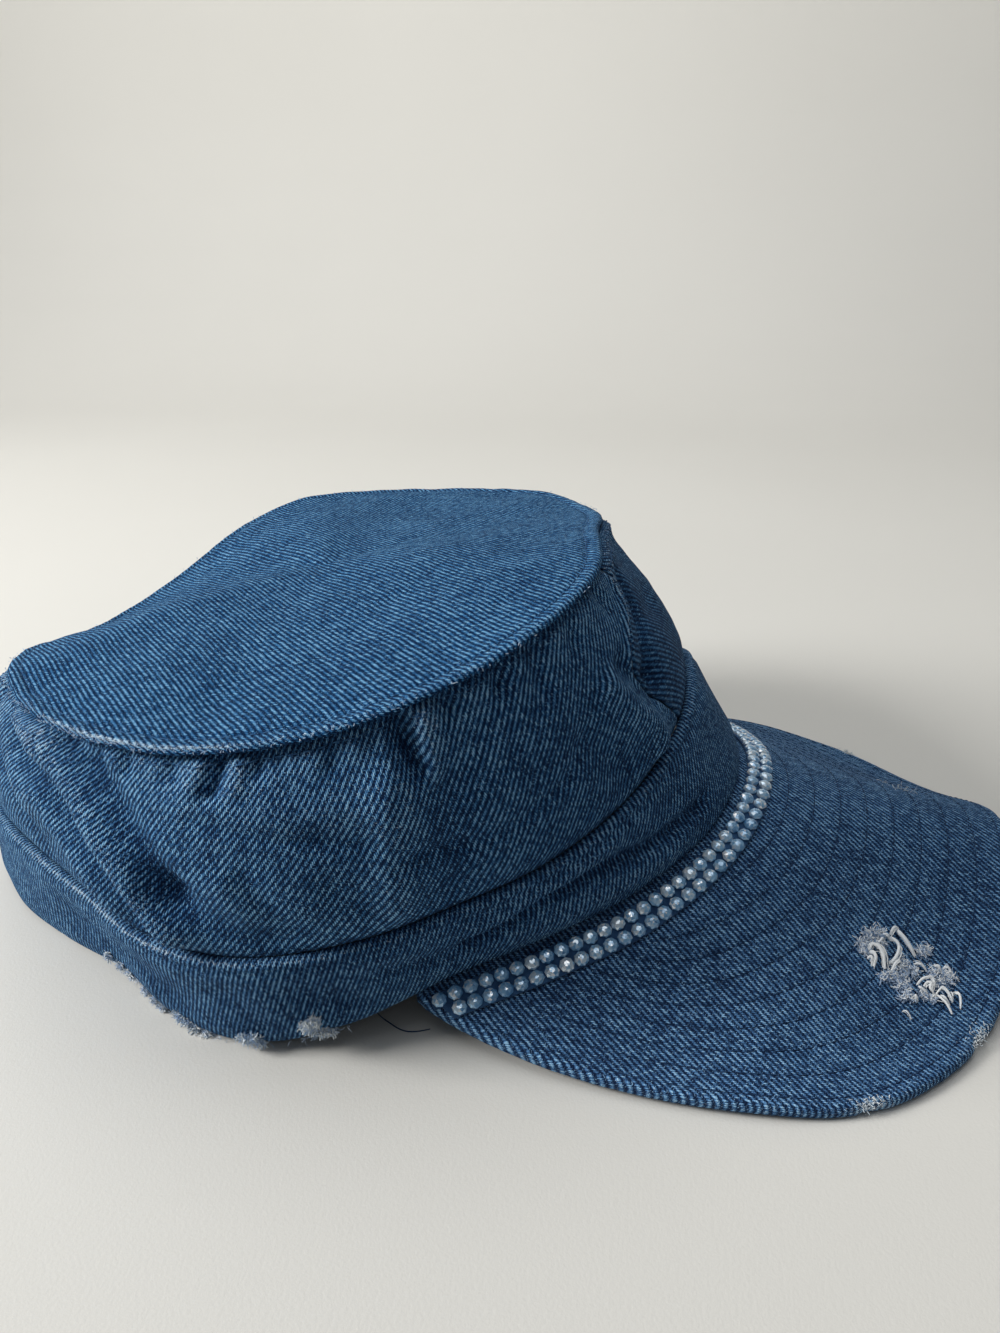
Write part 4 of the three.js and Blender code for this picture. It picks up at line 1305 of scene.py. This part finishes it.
def hem_threads():
    """Frayed tufts along the band's hem, and short fibres between them."""
    draw = np.random.default_rng(41)
    pale = []
    fuzz = []

    def frame_at(angle, rise):
        angles = np.array([angle, angle - 0.5, angle])
        here, ahead, above = band_surface(angles, np.array([rise, rise, rise + 0.03]), np.zeros(3))
        run = unit(ahead - here)
        up = unit(above - here)
        out = np.cross(run, up)
        if out @ on_ring(angle, 1.0, 0.0) < 0:
            out = -out
        return here, run, up, out

    for middle, high, radius in HEM_TUFTS:
        count = int(46 * radius**2) + 12
        for k in range(3 * count):
            angle = middle + draw.normal(0, 0.5) * radius / 1.4
            rise = np.clip(high + draw.normal(0, 0.5) * radius, 0.2, 12) / 25.5
            here, run, up, out = frame_at(angle, rise)
            here = here + out * draw.uniform(-0.1, 0.7)
            way = draw.normal(0, 1, 3) + out * 0.2
            if k < count:
                pale.append(fibre(draw, here, way, *TUFT_YARN))
            else:
                fuzz.append(fibre(draw, here, way, *TUFT_FUZZ))
    for middle, width, _ in HEM_FRAYS:
        for _ in range(int(22 * width)):
            here, run, up, out = frame_at(middle + draw.normal(0, 0.9) * width, 0.02)
            way = out * 0.6 + run * draw.normal(0, 1) - up * draw.uniform(-0.2, 0.8)
            fuzz.append(fibre(draw, here, way, *HEM_FIBRE))
    return pale, fuzz


def rim_fuzz():
    """Short broken fibres on the rubbed ridge of the top seam."""
    draw = np.random.default_rng(42)
    count = 1500
    angle = draw.uniform(0, 360, count)
    strong = 0.12 + 0.88 * near(angle, 104, 26) - 0.12 * near(angle, 0, 50)
    angle = angle[draw.random(count) < strong]
    rim = top_surface(angle, np.ones(len(angle)), 0.25)
    start = rim + on_ring(angle, TOP_LIP + draw.uniform(0.1, 0.8, len(angle)), 0.0)
    strands = []
    for here, out in zip(start, on_ring(angle, 1.0, 0.0)):
        way = out * draw.uniform(0.1, 0.8) + np.array([0, 0, draw.uniform(-0.2, 0.7)])
        way = way + draw.normal(0, 0.7, 3)
        strands.append(fibre(draw, here, way, *RIM_FIBRE))
    return strands


# Loops of the worn patch, in mm right of and below its middle as the camera sees it, with a thickness
PATCH_MIDDLE = (-44.5, -134.5)
PATCH_LOOPS = [
    ([(-3.7, -7.1), (-3.0, -5.9), (-1.8, -4.6), (-0.7, -3.5), (0.3, -2.8)], 0.36),
    ([(-5.0, -5.5), (-4.2, -6.5), (-3.2, -7.3)], 0.28),
    ([(-5.8, -4.7), (-4.7, -4.4), (-3.7, -3.7), (-3.3, -2.6), (-3.7, -1.0), (-4.6, 0.3), (-5.5, 0.8)], 0.30),
    ([(-6.7, -4.9), (-5.8, -4.5), (-5.1, -4.5)], 0.22),
    ([(-9.9, -0.3), (-9.2, -1.4), (-8.3, -1.1), (-7.5, -0.6), (-6.9, 0.5), (-6.7, 1.5), (-6.5, 2.5)], 0.33),
    ([(-9.7, 0.3), (-9.0, 0.9), (-8.6, 1.8), (-9.0, 3.0)], 0.33),
    ([(-10.2, 1.7), (-9.5, 1.9), (-9.3, 2.9)], 0.26),
    ([(-8.1, -1.4), (-7.2, -1.1), (-6.7, -0.2), (-6.4, 1.2)], 0.24),
    ([(-8.3, -2.8), (-7.4, -2.7), (-6.9, -3.5), (-6.3, -3.6)], 0.20),
    ([(-4.9, 2.1), (-4.2, 1.0), (-3.3, 0.2), (-2.9, 0.7)], 0.25),
    ([(0.6, 3.1), (1.5, 2.1), (2.9, 1.5), (3.7, 1.4), (4.1, 2.4), (3.8, 3.6)], 0.24),
    ([(1.9, 3.1), (2.6, 2.5), (3.4, 2.6), (3.1, 3.6), (3.9, 4.0)], 0.22),
    ([(0.8, 3.5), (0.9, 4.3), (1.8, 4.7), (2.6, 4.9)], 0.22),
    ([(-0.2, 6.0), (-0.2, 6.6), (-0.1, 7.1)], 0.20),
    ([(4.4, 4.1), (5.3, 3.1), (5.9, 2.8), (6.7, 3.4), (7.4, 4.4), (7.8, 4.9)], 0.20),
    ([(4.6, 4.3), (5.4, 5.6), (6.4, 6.8), (7.3, 7.9)], 0.22),
    ([(5.4, 4.0), (6.1, 5.0), (7.1, 5.9)], 0.15),
    ([(7.2, 3.1), (7.7, 3.6), (7.8, 4.5)], 0.15),
    ([(8.2, 2.8), (9.0, 3.3), (9.3, 4.6), (9.3, 6.0)], 0.20),
    ([(0.0, -1.0), (1.3, -0.8), (2.8, -0.4)], 0.18),
    ([(-3.1, 10.3), (-2.3, 10.7), (-1.4, 11.5)], 0.09),
    ([(4.4, -2.0), (5.3, -1.6), (5.6, -1.1)], 0.20),
    ([(6.1, -1.5), (6.8, -1.9), (7.6, -1.7), (8.4, -1.0)], 0.18),
    ([(3.1, 5.8), (3.8, 5.2), (4.3, 5.7)], 0.16),
]
# Fluffy heaps of the patch: middle and radius
PATCH_HEAPS = [
    (-10.0, -3.4, 1.2), (-11.4, -0.7, 1.2), (-11.0, 0.4, 0.9), (-8.2, -4.5, 1.2), (-6.7, -5.3, 0.9),
    (-9.6, -2.5, 1.2), (-6.9, -2.9, 1.0), (-3.0, 1.8, 1.8), (-4.8, 3.3, 1.2), (-2.0, -0.3, 1.2),
    (-6.1, 4.2, 0.8), (-7.4, 4.7, 0.5), (-3.3, 4.5, 1.2), (-1.9, 4.8, 1.2), (-1.5, 6.5, 1.1),
    (-2.9, 7.4, 0.6), (2.2, -4.5, 1.1), (3.3, -4.9, 0.7), (1.3, -3.8, 0.5), (4.4, 0.6, 1.3),
    (6.7, -0.8, 1.3), (7.9, -0.4, 1.1), (5.6, 1.5, 1.1), (4.1, -0.6, 0.9), (1.5, 5.2, 0.9),
    (3.6, 5.5, 0.7), (0.1, 0.7, 1.0),
]


def patch_point(right, below, lift):
    """A point over the brim, from millimetres right of and below the patch's middle."""
    x = PATCH_MIDDLE[0] - below * 0.98
    y = PATCH_MIDDLE[1] - right * 0.98 + below * 0.06
    p = brim_face(np.asarray(x, float), np.asarray(y, float))
    p[..., 2] += lift
    return p


def smooth_line(points, count):
    """A rounded line through a few points."""
    points = np.asarray(points, float)
    place = np.linspace(0, len(points) - 1, count)
    padded = np.vstack([2 * points[0] - points[1], points, 2 * points[-1] - points[-2]])
    k = np.minimum(place.astype(int), len(points) - 2)
    return through(*(padded[k + step] for step in range(4)), (place - k)[:, None])


def patch_threads():
    """The worn patch's loops of weft and its fluff."""
    draw = np.random.default_rng(43)
    loops = []
    fluff = []
    for points, radius in PATCH_LOOPS:
        line = smooth_line(points, 16)
        hump = np.sin(np.linspace(0, math.pi, 16))
        lift = 0.3 + radius + hump * min(1.3, 0.5 + radius * 2.2)
        radius = radius * 1.25
        loops.append((patch_point(*line.T, lift), radius, 0.25))
        for _ in range(2):
            side = line + draw.normal(0, radius * 0.8, 2)
            beside = patch_point(*side.T, lift * draw.uniform(0.75, 1.05))
            loops.append((beside + draw.normal(0, 0.05, beside.shape), radius * 0.42, 0.3))
    for right, below, radius in PATCH_HEAPS:
        for k in range(int(64 * radius**2) + 24):
            r = draw.normal(right, radius * 0.5)
            b = draw.normal(below, radius * 0.5)
            start = patch_point(r, b, draw.uniform(0.0, 0.9))
            way = draw.normal(0, 1, 3) * np.array([1, 1, 0.5])
            line = curl(draw, start, way, draw.uniform(0.6, 1.5), 0.8, 5)
            ground = brim_top(line[:, 0], line[:, 1])
            line[:, 2] = np.clip(line[:, 2], ground + 0.02, ground + 1.3)
            if k % 4 == 0:
                loops.append((line + np.array([0, 0, 0.35]), draw.uniform(0.06, 0.10), 0.4))
            else:
                fluff.append((line, draw.uniform(0.05, 0.11), 0.4))
    return loops, fluff


def brim_edge_threads():
    """Frayed bites of the brim's edge, and a few loose fibres on its far side."""
    draw = np.random.default_rng(44)
    strands = []
    for middle, width, deep in BRIM_BITES:
        for _ in range(170):
            _, edge, _, out = brim_span(middle + draw.normal(0, 0.6) * width)
            start = brim_face(*(edge - out * draw.uniform(0.2, deep + 1.4)))
            start[2] -= draw.uniform(-0.2, 1.4)
            way = np.array([*out, draw.normal(0, 0.4)]) * 0.2 + draw.normal(0, 0.8, 3) * np.array([1, 1, 0.4])
            strands.append(fibre(draw, start, way, *EDGE_FIBRE))
    for _ in range(26):
        x = draw.uniform(6, 20)
        start = brim_face(x, -138.0 + draw.normal(0, 2.2))
        way = np.array([0.2, -0.5, 0.35]) + draw.normal(0, 0.5, 3)
        strands.append(fibre(draw, start, way, *LOOSE_FIBRE))
    return strands


# The loose strand on the table by the brim's corner
STRAY_ROUTE = [
    (-69.4, -21.6, 1.4), (-70.0, -23.2, 0.5), (-70.9, -25.1, 0.25), (-72.0, -27.2, 0.2),
    (-72.5, -29.3, 0.2), (-72.1, -31.6, 0.22), (-71.1, -34.0, 0.3),
]
STRAY_THREAD = [(smooth_line(STRAY_ROUTE, 22), 0.13, 0.3)]


# Floor, lights and world: the floor's sizes in metres, and where and how widely it bends up
FLOOR_LONG = 4.6
FLOOR_BEHIND = 2.2
FLOOR_HALF_WIDE = 4.4
BEND_FROM = 0.62
BEND = 0.35


def add_stage():
    """A pale table top that sweeps up into a backdrop far behind the cap."""
    bpy.ops.object.select_all(action="DESELECT")
    bpy.ops.mesh.primitive_grid_add(x_subdivisions=60, y_subdivisions=2, size=2)
    floor = bpy.context.object
    floor.name = "floor"
    mesh = floor.data
    co = np.zeros(len(mesh.vertices) * 3)
    mesh.vertices.foreach_get("co", co)
    co = co.reshape(-1, 3)
    run = (co[:, 0] + 1) / 2 * FLOOR_LONG - FLOOR_BEHIND
    turn = np.clip((run - BEND_FROM) / BEND, 0, math.pi / 2)
    past = np.maximum(0, run - BEND_FROM - BEND * math.pi / 2)
    x = np.where(run < BEND_FROM, run, BEND_FROM + BEND * np.sin(turn))
    z = BEND * (1 - np.cos(turn)) + past
    placed = np.stack([x, co[:, 1] * FLOOR_HALF_WIDE, z], -1)
    mesh.vertices.foreach_set("co", placed.ravel())
    mesh.polygons.foreach_set("use_smooth", np.ones(len(mesh.polygons), bool))
    mesh.materials.append(floor_finish())


def add_area_light(name, place, aim, size, power, colour):
    bpy.ops.object.light_add(type="AREA", location=place)
    lamp = bpy.context.object
    lamp.name = name
    lamp.data.size = size
    lamp.data.energy = power
    lamp.data.color = colour
    way = Vector(aim) - Vector(place)
    lamp.rotation_euler = way.to_track_quat("-Z", "Y").to_euler()


def add_lights():
    add_area_light("window", (-0.35, 1.0, 0.65), (0, 0.03, 0.03), 0.4, 15.0, (1.0, 0.99, 0.97))
    add_area_light("ceiling", (0.10, 0.15, 1.25), (0, 0.0, 0.0), 1.1, 6.4, (0.98, 0.99, 1.0))
    add_area_light("backdrop_light", (0.35, 0.0, 0.9), (1.0, 0.0, 0.5), 0.5, 1.1, (1.0, 0.99, 0.97))
    world = bpy.data.worlds.new("studio")
    bpy.context.scene.world = world
    world.use_nodes = True
    sky = world.node_tree.nodes["Background"]
    sky.inputs[0].default_value = (0.86, 0.92, 1.0, 1)
    sky.inputs[1].default_value = 0.15
    bpy.context.scene.view_settings.view_transform = "Standard"
    bpy.context.scene.view_settings.look = "None"


# Put together
add_camera()
add_stage()
add_lights()

REVERSE = twill("denim_reverse", 0.0, 1, 1.0, 1.4, 1.0, 0.0, 0.45)
TOP_FINISHES = [twill("denim_top", 12.0, -1, 1.05, 2.0), REVERSE]
FRONT_FINISHES = [twill("denim_front", 80.0, 1, 0.85, 1.5, 0.95), REVERSE]
SIDE_FINISHES = [twill("denim_side", -4.0, 1, 1.06, 2.05, 0.95), REVERSE]
BAND_FINISHES = [twill("denim_band", 14.0, 1, 1.04, 1.9, 0.93), REVERSE]
# The brim's tone of 1.30 brightens its whole colour: painted light, making up for light it lacks under the
# crown
BRIM_FINISHES = [twill("denim_brim", 7.0, -1, 1.30, 1.75, 0.88, BRIM_ROW)]
# The setting strip's blue stands for the shaded denim between the stones: painted shade
SETTING_GAP_SHADE = yarn_finish("setting_gap_shade", blue(20, 46, 80), blue(56, 92, 132))

keep(crown_top(TOP_FINISHES), "denim_light", "crown_top")
keep(wall_panel("front_wall", 96, front_ends, 0.0, FRONT_FINISHES), "denim", "front_panel")
keep(wall_panel("side_wall", 620, side_ends, 1.0, SIDE_FINISHES), "denim", "side_panel")
keep(band(BAND_FINISHES), "denim_dark", "band")
keep(brim(BRIM_FINISHES), "denim_dark", "brim")
keep(stones(stone_finish()), "rhinestone", "rhinestone_trim")
keep(setting_strip(SETTING_GAP_SHADE), "denim_dark")

BLUE_THREAD = yarn_finish("blue_thread", blue(24, 58, 98), blue(70, 116, 160))
NAVY_THREAD = yarn_finish("navy_thread", blue(12, 32, 62), blue(34, 66, 104))
PALE_THREAD = yarn_finish("pale_thread", blue(168, 186, 202), blue(236, 238, 236))
PALE_FUZZ = yarn_finish("pale_fuzz", blue(116, 156, 200), blue(222, 234, 248))
WHITE_LOOPS = yarn_finish("white_loops", blue(224, 230, 236), blue(255, 255, 252))

HEM_PALE, HEM_FUZZ = hem_threads()
PATCH_LOOSE, PATCH_FLUFF = patch_threads()
THREADS = [
    ("wall_stitches", wall_stitches() + top_stitches(), BLUE_THREAD, "denim", 2),
    ("brim_stitches", brim_stitches(), NAVY_THREAD, "denim_dark", 2),
    ("frayed_hem", HEM_PALE, PALE_THREAD, "denim_dark", 2),
    ("hem_fuzz", HEM_FUZZ, PALE_FUZZ, "denim_dark", 2),
    ("seam_fuzz", rim_fuzz(), PALE_FUZZ, "denim_light", 2),
    ("patch_loops", PATCH_LOOSE, WHITE_LOOPS, "denim_dark", 3),
    ("patch_fluff", PATCH_FLUFF, PALE_FUZZ, "denim_dark", 2),
    ("edge_threads", brim_edge_threads(), PALE_THREAD, "denim_dark", 2),
    ("stray_thread", STRAY_THREAD, NAVY_THREAD, "denim_dark", 3),
]
for NAME, STRANDS, FINISH, SLOT, SIDES in THREADS:
    keep(thread_piece(NAME, STRANDS, FINISH, SIDES), SLOT)
